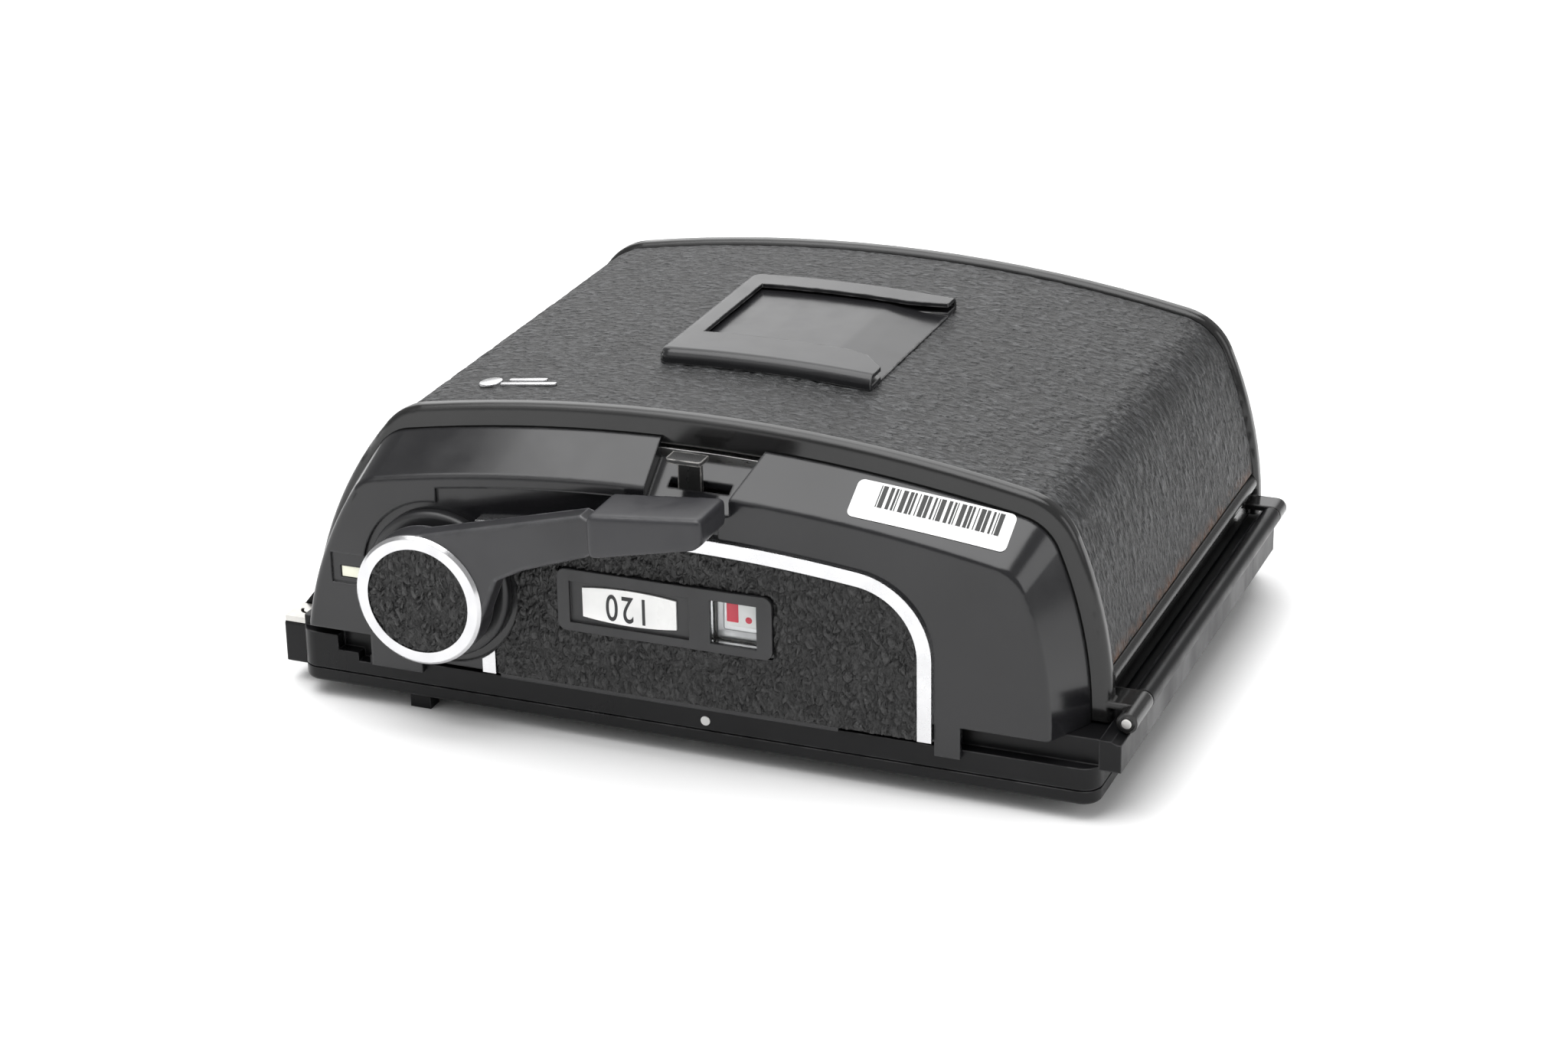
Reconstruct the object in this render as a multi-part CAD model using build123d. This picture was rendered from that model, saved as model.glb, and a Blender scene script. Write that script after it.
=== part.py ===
"""Roll film magazine of a medium format camera, lying on its camera side.

X runs along the lever side from the latch end to the hinge end, Y from the lever side to the
dark slide side, and Z from the camera side up to the leather back. The origin is the centre of
the film gate on the camera side face. All sizes are in millimetres.
"""
import os
from math import acos, atan2, cos, degrees, hypot, pi, radians, sin, sqrt, tan

from build123d import *

os.makedirs("parts", exist_ok=True)

# ---------------------------------------------------------------- driving dimensions
body_length = 112.0         # base along X
half_length = body_length / 2
spool_length = 66.0
cover_reach = spool_length / 2 + 4.0        # film gate centre to the outer face of either rim
near_reach = cover_reach + 6.0              # film gate centre to the lever side of the base
far_reach = cover_reach + 3.0               # film gate centre to the dark slide side of the base
plate_thick = 1.9           # camera side plate
frame_top = 8.6             # top of the base frame
near_ledge = frame_top - 3.5                # low step of the base frame under the gear housing
latch_ledge = frame_top - 1.35              # high step of the base frame at the latch end
gate_length = 69.5          # film gate along X, the picture's long side
gate_width = 56.0           # film gate along Y
base_corner = 2.5           # upright corners of the base
seam = 0.25                 # groove between the base's plate and frame

crown_height = 42.7         # top of the cover rims
crown_radius = half_length**2 / 13.88      # arch of the back: a longer body falls no further at its ends
hinge_bulge = 60.0          # radius of the cover's hinge end
hinge_bulge_x = half_length - hinge_bulge - 0.05
hinge_bulge_z = 9.0
latch_bulge = 56.0          # radius of the cover's latch end, which leans in more
latch_bulge_x = half_length - 54.6
latch_bulge_z = 0.0
rim_corner = 9.0            # rounding between the arch and the ends
rim_width = 2.5             # rim along Y
rim_rise = 1.3              # rim above the metal under the leather
cover_wall = 1.2
lip_depth = 4.0             # rim's outer edge to the inner edge of its lip
lip_thick = 0.8
leather_thick = 0.8
leather_foot = 15.0         # lowest edge of the leather on the cover's ends

housing_reach = near_reach + 1.0            # film gate centre to the front face of the gear housing
housing_foot = frame_top
housing_wall = 1.2
front_drop = 7.4            # crown of the housing's front face below the rim's crown
front_inset = 6.0           # its hinge end inside the rim's
front_inset_latch = 3.0
back_drop = 3.0             # the same where the housing meets the rim
back_inset = 2.6
back_inset_latch = 1.2

lever_x = -half_length + 22.5               # wind lever's axis
lever_z = 17.8
lever_shaft = 2.0           # radius
lever_pivot = 0.9           # radius of the shaft's inner end, which passes beside the take-up gear
hub_radius = 9.0
hub_face = housing_reach + 6.5              # film gate centre to the hub's outer face
arm_thick = 3.6
boss_radius = 10.2
boss_thick = 1.5

spool_x = half_length - 23.0                # spool axes lie at plus and minus this
spool_z = crown_height - 17.7
spool_flange = 12.55        # radius
spool_core = 6.0            # radius
spool_bore = 3.15           # radius

pin_x = half_length + 2.6   # hinge axis
pin_z = frame_top + 1.9
pin_radius = 0.65
knuckle_wall = 0.7
knuckle_radius = pin_radius + knuckle_wall
knuckle_joint = cover_reach - 4.7           # where the outer and middle knuckles meet
flange_reach = half_length + 2.9            # outer face of the hinge flange
flange_top = frame_top + 0.6

gear_module = 0.6
lever_teeth = 32
pinion_teeth = 16
wheel_teeth = 24
take_up_teeth = 18
gear_backlash = 0.12

slide_thick = 0.8           # dark slide
slide_width = gate_length + 4.5
slide_end = gate_width / 2 + 4.0            # how far the inserted slide reaches past the gate centre

rest_height = 2.4           # light trap frame below the camera side face

# ---------------------------------------------------------------- clearances
run_fit = 0.05              # radial, shafts in holes
gap = 0.3                   # between bodies that pass each other
seat = 0.02                 # between a held piece and its seat

front_y = -housing_reach
near_wall_y = -cover_reach + lip_thick + 0.4      # outer face of the near cheek wall
cheek_wall = 1.0


# ---------------------------------------------------------------- helpers
def block(x0, x1, y0, y1, z0, z1):
    """Box between two corners."""
    return Pos((x0 + x1) / 2, (y0 + y1) / 2, (z0 + z1) / 2) * Box(x1 - x0, y1 - y0, z1 - z0)


def rod_y(x, z, radius, y0, y1):
    return Pos(x, (y0 + y1) / 2, z) * Rot(90, 0, 0) * Cylinder(radius, y1 - y0)


def rod_z(x, y, radius, z0, z1):
    return Pos(x, y, (z0 + z1) / 2) * Cylinder(radius, z1 - z0)


def round_upright(shape, radius, keep=lambda edge: True):
    """Rounds the shape's upright edges."""
    edges = [e for e in shape.edges().filter_by(Axis.Z) if keep(e)]
    return fillet(edges, radius)


def prism_y(points, y0, y1):
    """Solid from a closed outline of (x, z) points, drawn between two places along Y."""
    outline = Wire.make_polygon([Vector(x, y0, z) for x, z in points], close=True)
    return extrude(Face(outline), amount=y1 - y0, dir=(0, 1, 0))


def save(shape, name):
    """Writes one node, whether it is one solid or a group."""
    solids = list(shape.solids())
    body = solids[0] if len(solids) == 1 else Compound(children=solids)
    body.label = name
    export_step(body, f"parts/{name}.step")


# ---------------------------------------------------------------- the arched section
def hinge_end(inset, z):
    """Where the section's hinge end lies at a height, moved in by inset."""
    radius = hinge_bulge - inset
    return hinge_bulge_x + sqrt(radius**2 - (z - hinge_bulge_z) ** 2)


def latch_end(inset, z):
    """Where the section's latch end lies at a height, moved in by inset."""
    radius = latch_bulge - inset
    return -latch_bulge_x - sqrt(radius**2 - (z - latch_bulge_z) ** 2)


def crown_at(drop, x):
    """Height of the arch at x, lowered by drop."""
    radius = crown_radius - drop
    return crown_height - crown_radius + sqrt(radius**2 - x**2)


def shoulder(drop, side_x, side_z, side_r):
    """Where the arch, lowered by drop, meets an end's arc; side_x is measured outwards."""
    crown_r = crown_radius - drop
    crown_z = crown_height - crown_radius
    dz = side_z - crown_z
    span = hypot(side_x, dz)
    along = (crown_r**2 - side_r**2 + span**2) / (2 * span)
    across = sqrt(crown_r**2 - along**2)
    return (along * side_x + across * dz) / span, crown_z + (along * dz - across * side_x) / span


def arch_face(drop, inset, foot, corner, y, latch_inset=None):
    """Cover section at y: flat foot, bulging ends, rounded corners and an arched crown."""
    latch_inset = inset if latch_inset is None else latch_inset
    right_x, right_z = shoulder(drop, hinge_bulge_x, hinge_bulge_z, hinge_bulge - inset)
    left_x, left_z = shoulder(drop, latch_bulge_x, latch_bulge_z, latch_bulge - latch_inset)
    middle_z = (right_z + foot) / 2
    foot_left = Vector(latch_end(latch_inset, foot), y, foot)
    foot_right = Vector(hinge_end(inset, foot), y, foot)
    meet_left = Vector(-left_x, y, left_z)
    meet_right = Vector(right_x, y, right_z)
    middle_left = Vector(latch_end(latch_inset, middle_z), y, middle_z)
    middle_right = Vector(hinge_end(inset, middle_z), y, middle_z)
    edges = [
        Edge.make_line(foot_left, foot_right),
        Edge.make_three_point_arc(foot_right, middle_right, meet_right),
        Edge.make_three_point_arc(meet_right, Vector(0, y, crown_at(drop, 0)), meet_left),
        Edge.make_three_point_arc(meet_left, middle_left, foot_left),
    ]
    face = Face(Wire(edges))
    top = [v for v in face.vertices() if v.Z > foot + 1]
    return face.fillet_2d(corner, top)


def arch_solid(drop, inset, foot, corner, y0, y1):
    face = arch_face(drop, inset, foot, corner, y0)
    return extrude(face, amount=y1 - y0, dir=(0, 1, 0))


def arch_offset(depth, foot, y0, y1):
    """Section moved in by depth all round."""
    return arch_solid(depth, depth, foot, max(rim_corner - depth, 2.0), y0, y1)


# ---------------------------------------------------------------- gears
def involute(angle):
    return tan(angle) - angle


def gear(teeth, width, bore, y, x, z, tooth_angle):
    """Spur gear about Y with one tooth centred at tooth_angle (degrees from X towards Z)."""
    pitch_r = gear_module * teeth / 2
    base_r = pitch_r * cos(radians(20))
    root_r = pitch_r - 1.2 * gear_module
    tip_r = pitch_r + 0.9 * gear_module
    half_pitch = (pi / 2 - gear_backlash / gear_module) / teeth
    flank = []
    steps = 4
    start_r = max(base_r, root_r)
    for i in range(steps + 1):
        r = start_r + (tip_r - start_r) * i / steps
        pressure = acos(min(1.0, base_r / r))
        flank.append((r, half_pitch + involute(radians(20)) - involute(pressure)))
    if root_r < base_r:
        flank.insert(0, (root_r, flank[0][1]))
    points = []
    for i in range(teeth):
        middle = radians(tooth_angle) + 2 * pi * i / teeth
        rising = [(r, middle - half) for r, half in flank]
        falling = [(r, middle + half) for r, half in reversed(flank)]
        points += [(x + r * cos(a), z + r * sin(a)) for r, a in rising + falling]
    blank = prism_y(points, y, y + width)
    return blank - rod_y(x, z, bore, y - 1, y + width + 1)


# ================================================================ camera side of the body
def make_base_plate():
    """Camera side plate: film gate opening, light trap frame below it and one catch lug."""
    plate = block(-half_length, half_length, -near_reach, far_reach, 0, plate_thick)
    plate = round_upright(plate, base_corner)
    plate = fillet([e for e in plate.edges() if abs(e.center().Z) < 0.01], 0.6)
    trap_wall = 1.6
    trap_x = gate_length / 2 + 11
    trap_y = gate_width / 2 + 6.5
    trap = block(-trap_x, trap_x, -trap_y, trap_y, -rest_height, 0)
    trap = round_upright(trap, 4)
    hollow = block(-trap_x + trap_wall, trap_x - trap_wall, -trap_y + trap_wall, trap_y - trap_wall,
                   -rest_height, 0)
    hollow = round_upright(hollow, 4 - trap_wall)
    plate += trap - hollow
    plate += block(lug_x0, lug_x0 + 3.0, -near_reach + 1.6, -near_reach + 4.0, -rest_height, 0)
    plate -= block(-gate_length / 2, gate_length / 2, -gate_width / 2, gate_width / 2, -5, 5)
    for x, y in plate_screws:
        plate -= rod_z(x, y, screw_head + gap / 2, -1, screw_sink)
        plate -= rod_z(x, y, screw_shank, -1, 5)
    plate -= rod_z(interlock_x, interlock_y, interlock_radius + run_fit, -1, 5)
    return plate


lug_x0 = -half_length + 15.6
screw_head = 1.7            # radius
screw_sink = 1.0
screw_shank = 0.9
screw_x = half_length - 4.5
screw_y = (-near_reach + 4.5, far_reach - 4.5)
plate_screws = [(x, y) for x in (-screw_x, screw_x) for y in screw_y] + [(0, screw_y[0])]
interlock_x = -half_length + 8.5
interlock_y = 20.0
interlock_radius = 1.3


def make_base_frame():
    """Upper frame of the base, with the slide's slot, the near ledges and the latch pocket."""
    frame = block(-half_length, half_length, -near_reach, far_reach, plate_thick, frame_top)
    frame = round_upright(frame, base_corner)
    frame = chamfer([e for e in frame.edges() if abs(e.center().Z - plate_thick) < 0.01], seam)
    frame -= block(-gate_length / 2, gate_length / 2, -gate_width / 2, gate_width / 2, 0, 20)
    frame -= block(-slide_width / 2 - gap, slide_width / 2 + gap, -slide_end - gap, far_reach + 1,
                   plate_thick - 1, plate_thick + slide_thick + 2 * gap)
    ledge_y = -near_reach + 1.8
    step_x = -half_length + 6.0
    frame -= block(step_x, half_length + 1, -near_reach - 1, ledge_y, near_ledge, 20)
    frame -= block(-half_length - 1, step_x, -near_reach - 1, ledge_y, latch_ledge, 20)
    frame -= block(step_x + 3.0, step_x + 4.8, -near_reach - 1, ledge_y, near_ledge - 1.2, 20)
    for x, y in plate_screws:
        frame -= rod_z(x, y, screw_shank, 0, 5)
    frame -= rod_z(interlock_x, interlock_y, interlock_radius + run_fit, 0, 20)
    frame -= rod_z(interlock_x, interlock_y, interlock_radius + 0.9, 4, 20)
    frame -= block(pocket_x0, pocket_x1, -9, nose_y1 + latch_travel + gap, pocket_floor, 20)
    frame -= block(-half_length - 1, pocket_x0 + 1, nose_y0 - gap, nose_y1 + latch_travel + gap,
                   nose_z0 - gap, nose_z1 + gap)
    return frame


pocket_x0 = -half_length + 2.3              # pocket for the cover's catch
pocket_x1 = pocket_x0 + 2.8
pocket_floor = plate_thick + 1.5
catch_reach = 5.0           # half the catch's width
catch_toe = 2.6
latch_travel = 3.0
nose_y0 = catch_reach + catch_toe + gap
nose_y1 = nose_y0 + 3.0
nose_z0 = pocket_floor + 1.6
nose_z1 = nose_z0 + 1.4


def make_hinge_flange():
    """Flange along the hinge side that carries the long middle knuckle."""
    flange = block(half_length, flange_reach, -near_reach + 0.5, knuckle_joint - 0.1, near_ledge, flange_top)
    flange -= block(flange_reach - 0.6, flange_reach + 1, strip_y0, strip_y1, near_ledge - 1, flange_top + 1)
    flange += block(flange_reach - 1.4, flange_reach - 0.6, -knuckle_joint + gap, knuckle_joint - gap * 4,
                    flange_top - 1, pin_z)
    flange += rod_y(pin_x, pin_z, knuckle_radius, -knuckle_joint + gap, knuckle_joint - gap * 4)
    flange -= rod_y(pin_x, pin_z, pin_radius + seat, -60, 60)
    # clear the outer knuckles, which swing with the cover
    for a, b in ((-60, -knuckle_joint + gap), (knuckle_joint - gap * 4, 60)):
        flange -= rod_y(pin_x, pin_z, knuckle_radius + gap, a, b)
    return flange


strip_y0 = -knuckle_joint + 1.2
strip_y1 = knuckle_joint - 11.5


def make_name_strip():
    """Blank plate let into the flange."""
    return block(flange_reach - 0.6, flange_reach, strip_y0 + seat, strip_y1 - seat,
                 near_ledge, pin_z - knuckle_radius - seat)


def make_hinge_pin():
    return rod_y(pin_x, pin_z, pin_radius, near_knuckle_y0 - 0.2, far_knuckle_y1 + 0.1)


def make_gate_frame():
    """Polished film gate with two raised rails that the film slides on."""
    reach_x = gate_length / 2 + 5.25
    reach_y = gate_width / 2 + 5.0
    frame = block(-reach_x, reach_x, -reach_y, reach_y, frame_top, frame_top + 0.6)
    for side in (-1, 1):
        inner = side * (gate_width / 2 + 0.6)
        outer = side * (gate_width / 2 + 2.4)
        frame += block(-reach_x, reach_x, min(inner, outer), max(inner, outer), frame_top + 0.6, frame_top + 1.0)
    frame -= block(-gate_length / 2, gate_length / 2, -gate_width / 2, gate_width / 2, 0, 20)
    return frame


def make_cheek_wall(side):
    """Upright wall inside each cover rim, closing the film chamber."""
    y0 = near_wall_y if side < 0 else -near_wall_y - cheek_wall
    wall = arch_offset(rim_rise + cover_wall + 0.4, frame_top, y0, y0 + cheek_wall)
    if side < 0:
        wall -= rod_y(-spool_x, spool_z, take_up_shaft + run_fit, -60, 0)
    return wall


take_up_shaft = 2.2


def make_gear_plate():
    """Mechanism plate between the near cheek wall and the gear housing, with the pivots' holes."""
    plate = arch_offset(lip_depth + 0.5, frame_top, gear_plate_y0, gear_plate_y1)
    plate -= rod_y(lever_x, lever_z, lever_pivot + run_fit, -60, 0)
    plate -= rod_y(-spool_x, spool_z, take_up_shaft + run_fit, -60, 0)
    plate -= rod_y(idler_x, idler_z, pivot_radius + seat, -60, 0)
    plate -= rod_y(dial_x, dial_z, pivot_radius + seat, -60, 0)
    plate -= rod_y(pawl_x, pawl_z, pawl_pivot + seat, -60, 0)
    return plate


gear_plate_y0 = -cover_reach - 0.25
gear_plate_y1 = near_wall_y

# gear train: the two-step idler lies where both meshes have their centre distance
train_a = gear_module * (lever_teeth + pinion_teeth) / 2
train_b = gear_module * (wheel_teeth + take_up_teeth) / 2
axis_dx = -spool_x - lever_x
axis_dz = spool_z - lever_z
axis_gap = hypot(axis_dx, axis_dz)
idler_along = (train_a**2 - train_b**2 + axis_gap**2) / (2 * axis_gap)
idler_across = sqrt(train_a**2 - idler_along**2)
idler_x = lever_x + (idler_along * axis_dx + idler_across * axis_dz) / axis_gap
idler_z = lever_z + (idler_along * axis_dz - idler_across * axis_dx) / axis_gap
pivot_radius = 1.2
layer_a = front_y + housing_wall + 0.35       # gear layer next to the housing's front wall
layer_a_width = 1.2
layer_b = layer_a + layer_a_width + 0.4
layer_b_width = 1.4
dial_x = 12.5
dial_z = lever_z + 3.8
dial_radius = 9.4
pawl_x = -spool_x - 9.9
pawl_z = spool_z + 2.0
pawl_pivot = 0.8

angle_a = degrees(atan2(idler_z - lever_z, idler_x - lever_x))
angle_b = degrees(atan2(spool_z - idler_z, -spool_x - idler_x))


def make_drive_gear():
    """Gear and ratchet fixed on the inner end of the lever's shaft."""
    wheel = gear(lever_teeth, layer_a_width, lever_shaft - 0.5, layer_a, lever_x, lever_z, angle_a)
    shaft = rod_y(lever_x, lever_z, lever_shaft, -hub_face + 1.3, layer_a + layer_a_width)
    pivot = rod_y(lever_x, lever_z, lever_pivot, layer_a, gear_plate_y1 - gap)
    return wheel + shaft + pivot


def make_idler_gear():
    pinion = gear(pinion_teeth, layer_a_width, pivot_radius + run_fit, layer_a, idler_x, idler_z,
                  angle_a + 180 + 180 / pinion_teeth)
    wheel = gear(wheel_teeth, layer_b_width, pivot_radius + run_fit, layer_b, idler_x, idler_z, angle_b)
    collar = rod_y(idler_x, idler_z, 2.2, layer_a, layer_b + layer_b_width)
    collar -= rod_y(idler_x, idler_z, pivot_radius + run_fit, -60, 0)
    return pinion + wheel + collar


def make_take_up_gear():
    """Gear, shaft and key blade that turn the take-up spool."""
    wheel = gear(take_up_teeth, layer_b_width, take_up_shaft - 0.5, layer_b, -spool_x, spool_z,
                 angle_b + 180 + 180 / take_up_teeth)
    shaft = rod_y(-spool_x, spool_z, take_up_shaft, layer_b, -spool_length / 2 - 0.4)
    key = block(-spool_x - key_half, -spool_x + key_half, -spool_length / 2 - 0.5, -spool_length / 2 + 4,
                spool_z - key_thick / 2, spool_z + key_thick / 2)
    return wheel + shaft + key


key_half = 3.0
key_thick = 1.2


def make_pivots():
    """Fixed pivots of the idler and of the counter dial, riveted in the mechanism plate."""
    idler = rod_y(idler_x, idler_z, pivot_radius, layer_a - 0.1, gear_plate_y1)
    dial = rod_y(dial_x, dial_z, pivot_radius, layer_a - 0.1, gear_plate_y1)
    pawl = rod_y(pawl_x, pawl_z, pawl_pivot, layer_a - 0.1, gear_plate_y1)
    return Compound(children=[idler, dial, pawl])


def make_counter_dial():
    """Frame counter: numbered disc and the notched wheel that steps it."""
    disc = rod_y(dial_x, dial_z, dial_radius, layer_a + 0.25, layer_a + 0.85)
    notched = rod_y(dial_x, dial_z, 5.0, layer_a + 0.85, layer_b + 0.6)
    for i in range(12):
        a = 2 * pi * i / 12
        notched -= rod_y(dial_x + 5.2 * cos(a), dial_z + 5.2 * sin(a), 0.7, layer_a + 0.85, layer_b + 2)
    dial = disc + notched
    return dial - rod_y(dial_x, dial_z, pivot_radius + run_fit, -60, 0)


def make_pawl():
    """Anti-return pawl that rides on the take-up gear's ratchet side."""
    arm = prism_y([(pawl_x - 1.4, pawl_z + 1.6), (pawl_x - 1.4, pawl_z - 2.0), (pawl_x + 1.4, pawl_z - 2.0),
                   (pawl_x + 2.2, pawl_z - 1.0), (pawl_x + 3.6, pawl_z - 0.2), (pawl_x + 1.4, pawl_z + 1.6)],
                  layer_b, layer_b + 1.0)
    return arm - rod_y(pawl_x, pawl_z, pawl_pivot + run_fit, -60, 0)


# ================================================================ gear housing and its trim
def housing_loft(extra, front, back):
    """Housing shape moved in by extra, from its front face to its joint with the rim."""
    face_a = arch_face(front_drop + extra, front_inset + extra, housing_foot - 1, 5.0, front,
                       front_inset_latch + extra)
    face_b = arch_face(back_drop + extra, back_inset + extra, housing_foot - 1, 6.5, back,
                       back_inset_latch + extra)
    return loft([face_a, face_b], ruled=True)


notch_x0 = -3.7
notch_x1 = 7.4
notch_flare = 3.4           # the notch is wider at the rim by this
notch_depth = 2.3


def notch_cut(margin):
    """Finger notch behind the lever's grip, cut parallel to the housing's slope."""
    back_y = housing_back
    rise = (crown_height - back_drop - 0.3) - (crown_height - front_drop)
    run = back_y - front_y
    slope = rise / run
    floor_z = crown_height - front_drop - notch_depth - margin
    y0 = front_y - 1
    y1 = back_y + 2
    x0 = notch_x0 - margin
    x1 = notch_x1 + margin
    z0 = floor_z - slope
    z1 = floor_z + slope * (y1 - front_y)
    low = Wire.make_polygon([(x0, y0, z0), (x1, y0, z0), (x1, y0, z0 + 14), (x0, y0, z0 + 14)], close=True)
    high = Wire.make_polygon([(x0 - 0.6, y1, z1), (x1 + notch_flare, y1, z1), (x1 + notch_flare, y1, z1 + 14),
                              (x0 - 0.6, y1, z1 + 14)], close=True)
    return loft([Face(low), Face(high)], ruled=True)


housing_back = -cover_reach - gap


def make_gear_housing():
    """Moulded cover of the wind mechanism, with its notch, windows, skirt and two tabs."""
    shell = housing_loft(0, front_y, housing_back)
    ridge = [e for e in shell.edges() if abs(e.center().Y - front_y) < 0.01 and e.center().Z > housing_foot]
    shell = fillet(ridge, 0.9)
    shell -= notch_cut(0)
    hollow = housing_loft(housing_wall, front_y + housing_wall, housing_back + 1)
    hollow -= notch_cut(1.0)
    shell -= hollow
    shell -= block(-80, 80, -60, 0, 0, housing_foot)
    wall_back = front_y + housing_wall
    # tabs and skirt that hang in front of the base
    tab_foot = near_ledge - 0.9
    join_foot = near_ledge + 0.9
    shell += block(left_tab_x0, left_tab_x1, front_y, front_y + 0.9, tab_foot, housing_foot + 1)
    shell += block(skirt_x0, skirt_x1, front_y, wall_back, near_ledge + gap, housing_foot + 1)
    shell += block(right_tab_x0, right_tab_x1, front_y, front_y + 0.9, tab_foot, housing_foot + 1)
    for x0, x1 in ((left_tab_x1, skirt_x0), (skirt_x1, right_tab_x0)):
        shell += block(x0 - 0.1, x1 + 0.1, front_y + 0.3, wall_back, join_foot, housing_foot + 1)
    # shallow recess for the lever's arm, under the ridge
    arm_recess = rod_y(lever_x, lever_z, boss_radius + 1.1, front_y - 1, front_y + recess_depth)
    arm_recess += block(lever_x, notch_x1 - 1.2, front_y - 1, front_y + recess_depth, lever_z, 60)
    arm_recess &= arch_solid(front_drop + 1.6, front_inset, 0, 5.0, front_y - 1, 0)
    shell -= arm_recess
    # openings
    shell -= rod_y(lever_x, lever_z, lever_shaft + run_fit, front_y - 1, -cover_reach - 1)
    shell -= block(counter_x0, counter_x1, -60, layer_a, counter_z0, counter_z1)
    shell -= block(signal_x0, signal_x0 + 8, -60, layer_a, signal_z0, signal_z0 + 1.7)
    shell -= block(signal_x0 - 1.2, signal_x0 + 8, -60, front_y + 0.35, signal_z0 - 0.7, signal_z0 + 3.6)
    slot_z = crown_at(front_drop, 3) - notch_depth
    shell -= block(tab_x0 - 0.5, tab_x0 + tab_length + tab_travel + 0.5, tab_y - 0.7, tab_y + 0.7,
                   slot_z - 3, slot_z + 8)
    return shell


recess_depth = 0.5
left_tab_x0 = -half_length + 11.6
left_tab_x1 = left_tab_x0 + 7.5
skirt_x0 = lever_x + 8.2
skirt_x1 = half_length - 33.9
right_tab_x0 = half_length - 21.0
right_tab_x1 = right_tab_x0 + 3.4
counter_x0 = 5.1
counter_x1 = 11.5
counter_z0 = 15.4
counter_z1 = 21.4
signal_x0 = lever_x - 14.9
signal_z0 = lever_z - 1.5
tab_x0 = -1.2
tab_length = 4.8
tab_travel = 2.6
tab_y = front_y + 3.4


def make_release_tab():
    """Bent steel tab in the notch that frees the film advance."""
    floor_z = crown_at(front_drop, 3) - notch_depth + 2.6
    stem = block(tab_x0 + 0.8, tab_x0 + tab_length - 0.8, tab_y - 0.35, tab_y + 0.35, floor_z - 4.4, floor_z + 3)
    foot = block(tab_x0 - 1.6, tab_x0 + tab_length + 1.6, tab_y - 0.35, tab_y + 0.35, floor_z - 5.4, floor_z - 4.4)
    top = block(tab_x0, tab_x0 + tab_length, tab_y - 2.4, tab_y + 0.35, floor_z + 3, floor_z + 3.6)
    top = round_upright(top, 0.5, lambda e: e.center().Y < tab_y - 1)
    return stem + top + foot


def make_signal_bar():
    """Pale bar behind the slot that shows when the film is wound."""
    return block(signal_x0 + 0.1, signal_x0 + 6, front_y + 0.5, front_y + 1.1, signal_z0 + 0.1, signal_z0 + 1.6)


def make_lever_boss():
    """Dark disc between the housing and the lever's hub."""
    y0 = front_y - boss_thick + recess_depth
    boss = rod_y(lever_x, lever_z, boss_radius, y0, front_y + recess_depth)
    rim = [e for e in boss.edges() if abs(e.center().Y - y0) < 0.01]
    boss = fillet(rim, 0.7)
    return boss - rod_y(lever_x, lever_z, lever_shaft + run_fit, -60, 0)


trim_left = lever_x + 5.9
trim_right = half_length - 21.2
trim_foot = near_ledge + 1.0
trim_width = 1.9
trim_drop = 13.2
trim_corner = 11.0


def panel_shape(margin, y0, y1):
    """Panel outline on the front face, moved in by margin except at its foot."""
    left = trim_left + margin
    right = trim_right - margin
    drop = trim_drop + margin
    crown = crown_height - drop
    corner = trim_corner - margin
    low = trim_foot
    right_top = crown_at(drop, right)
    left_top = crown_at(drop, left)
    points = [Vector(left, y0, low), Vector(right, y0, low), Vector(right, y0, right_top), Vector(left, y0, left_top)]
    edges = [
        Edge.make_line(points[0], points[1]),
        Edge.make_line(points[1], points[2]),
        Edge.make_three_point_arc(points[2], Vector(0, y0, crown), points[3]),
        Edge.make_line(points[3], points[0]),
    ]
    face = Face(Wire(edges))
    face = face.fillet_2d(corner, [v for v in face.vertices() if v.X > 0 and v.Z > low + 1])
    solid = extrude(face, amount=y1 - y0, dir=(0, 1, 0))
    solid -= rod_y(lever_x, lever_z, boss_radius + 1.2, y0 - 1, y1 + 1)
    return solid


panel_front = front_y - 0.45
trim_front = front_y - 0.6
bezel_front = front_y - 0.8
bezel_x0 = -16.2
bezel_x1 = 13.6
bezel_z0 = 14.2
bezel_z1 = 22.8


def lay_on_front(shape_of, front):
    """Fills a flat piece down to the front face and, under the arm, down to the recess floor."""
    main = shape_of(front, front_y)
    deep = shape_of(front_y - 0.01, front_y + recess_depth)
    recess = rod_y(lever_x, lever_z, boss_radius + 1.1, -60, 0)
    recess += block(lever_x, notch_x1 - 1.2, -60, 0, lever_z, 60)
    return main + (deep & recess)


def make_chrome_trim():
    """Bright arch round the leather panel."""
    return lay_on_front(lambda a, b: panel_shape(0, a, b) - panel_shape(trim_width, a - 1, b + 1)
                        - block(trim_left - 1, trim_right - trim_width - 0.01, a - 1, b + 1, 0, trim_foot + 0.01),
                        trim_front)


def make_panel_leather():
    """Leather panel under the arch, cut out for the bezel."""
    def outline(a, b):
        return panel_shape(trim_width + seat, a, b) - block(bezel_x0 - seat, bezel_x1 + seat, a - 1, b + 1,
                                                           bezel_z0 - seat, bezel_z1 + seat)
    return lay_on_front(outline, panel_front)


def make_window_bezel():
    """Black frame of the film type window and the counter window."""
    def outline(a, b):
        plate = block(bezel_x0, bezel_x1, a, b, bezel_z0, bezel_z1)
        return fillet(plate.edges().filter_by(Axis.Y), 1.2)
    bezel = lay_on_front(outline, bezel_front)
    bezel -= block(type_x0 - 1.8, type_x1 + 1.8, bezel_front - 1, type_floor, type_z0 - 1.0, type_z1 + 0.8)
    bezel -= block(counter_x0, counter_x1, -60, 0, counter_z0, counter_z1)
    return bezel


type_x0 = -12.7
type_x1 = 0.4
type_z0 = 16.4
type_z1 = 20.4
type_floor = front_y - 0.35


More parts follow.
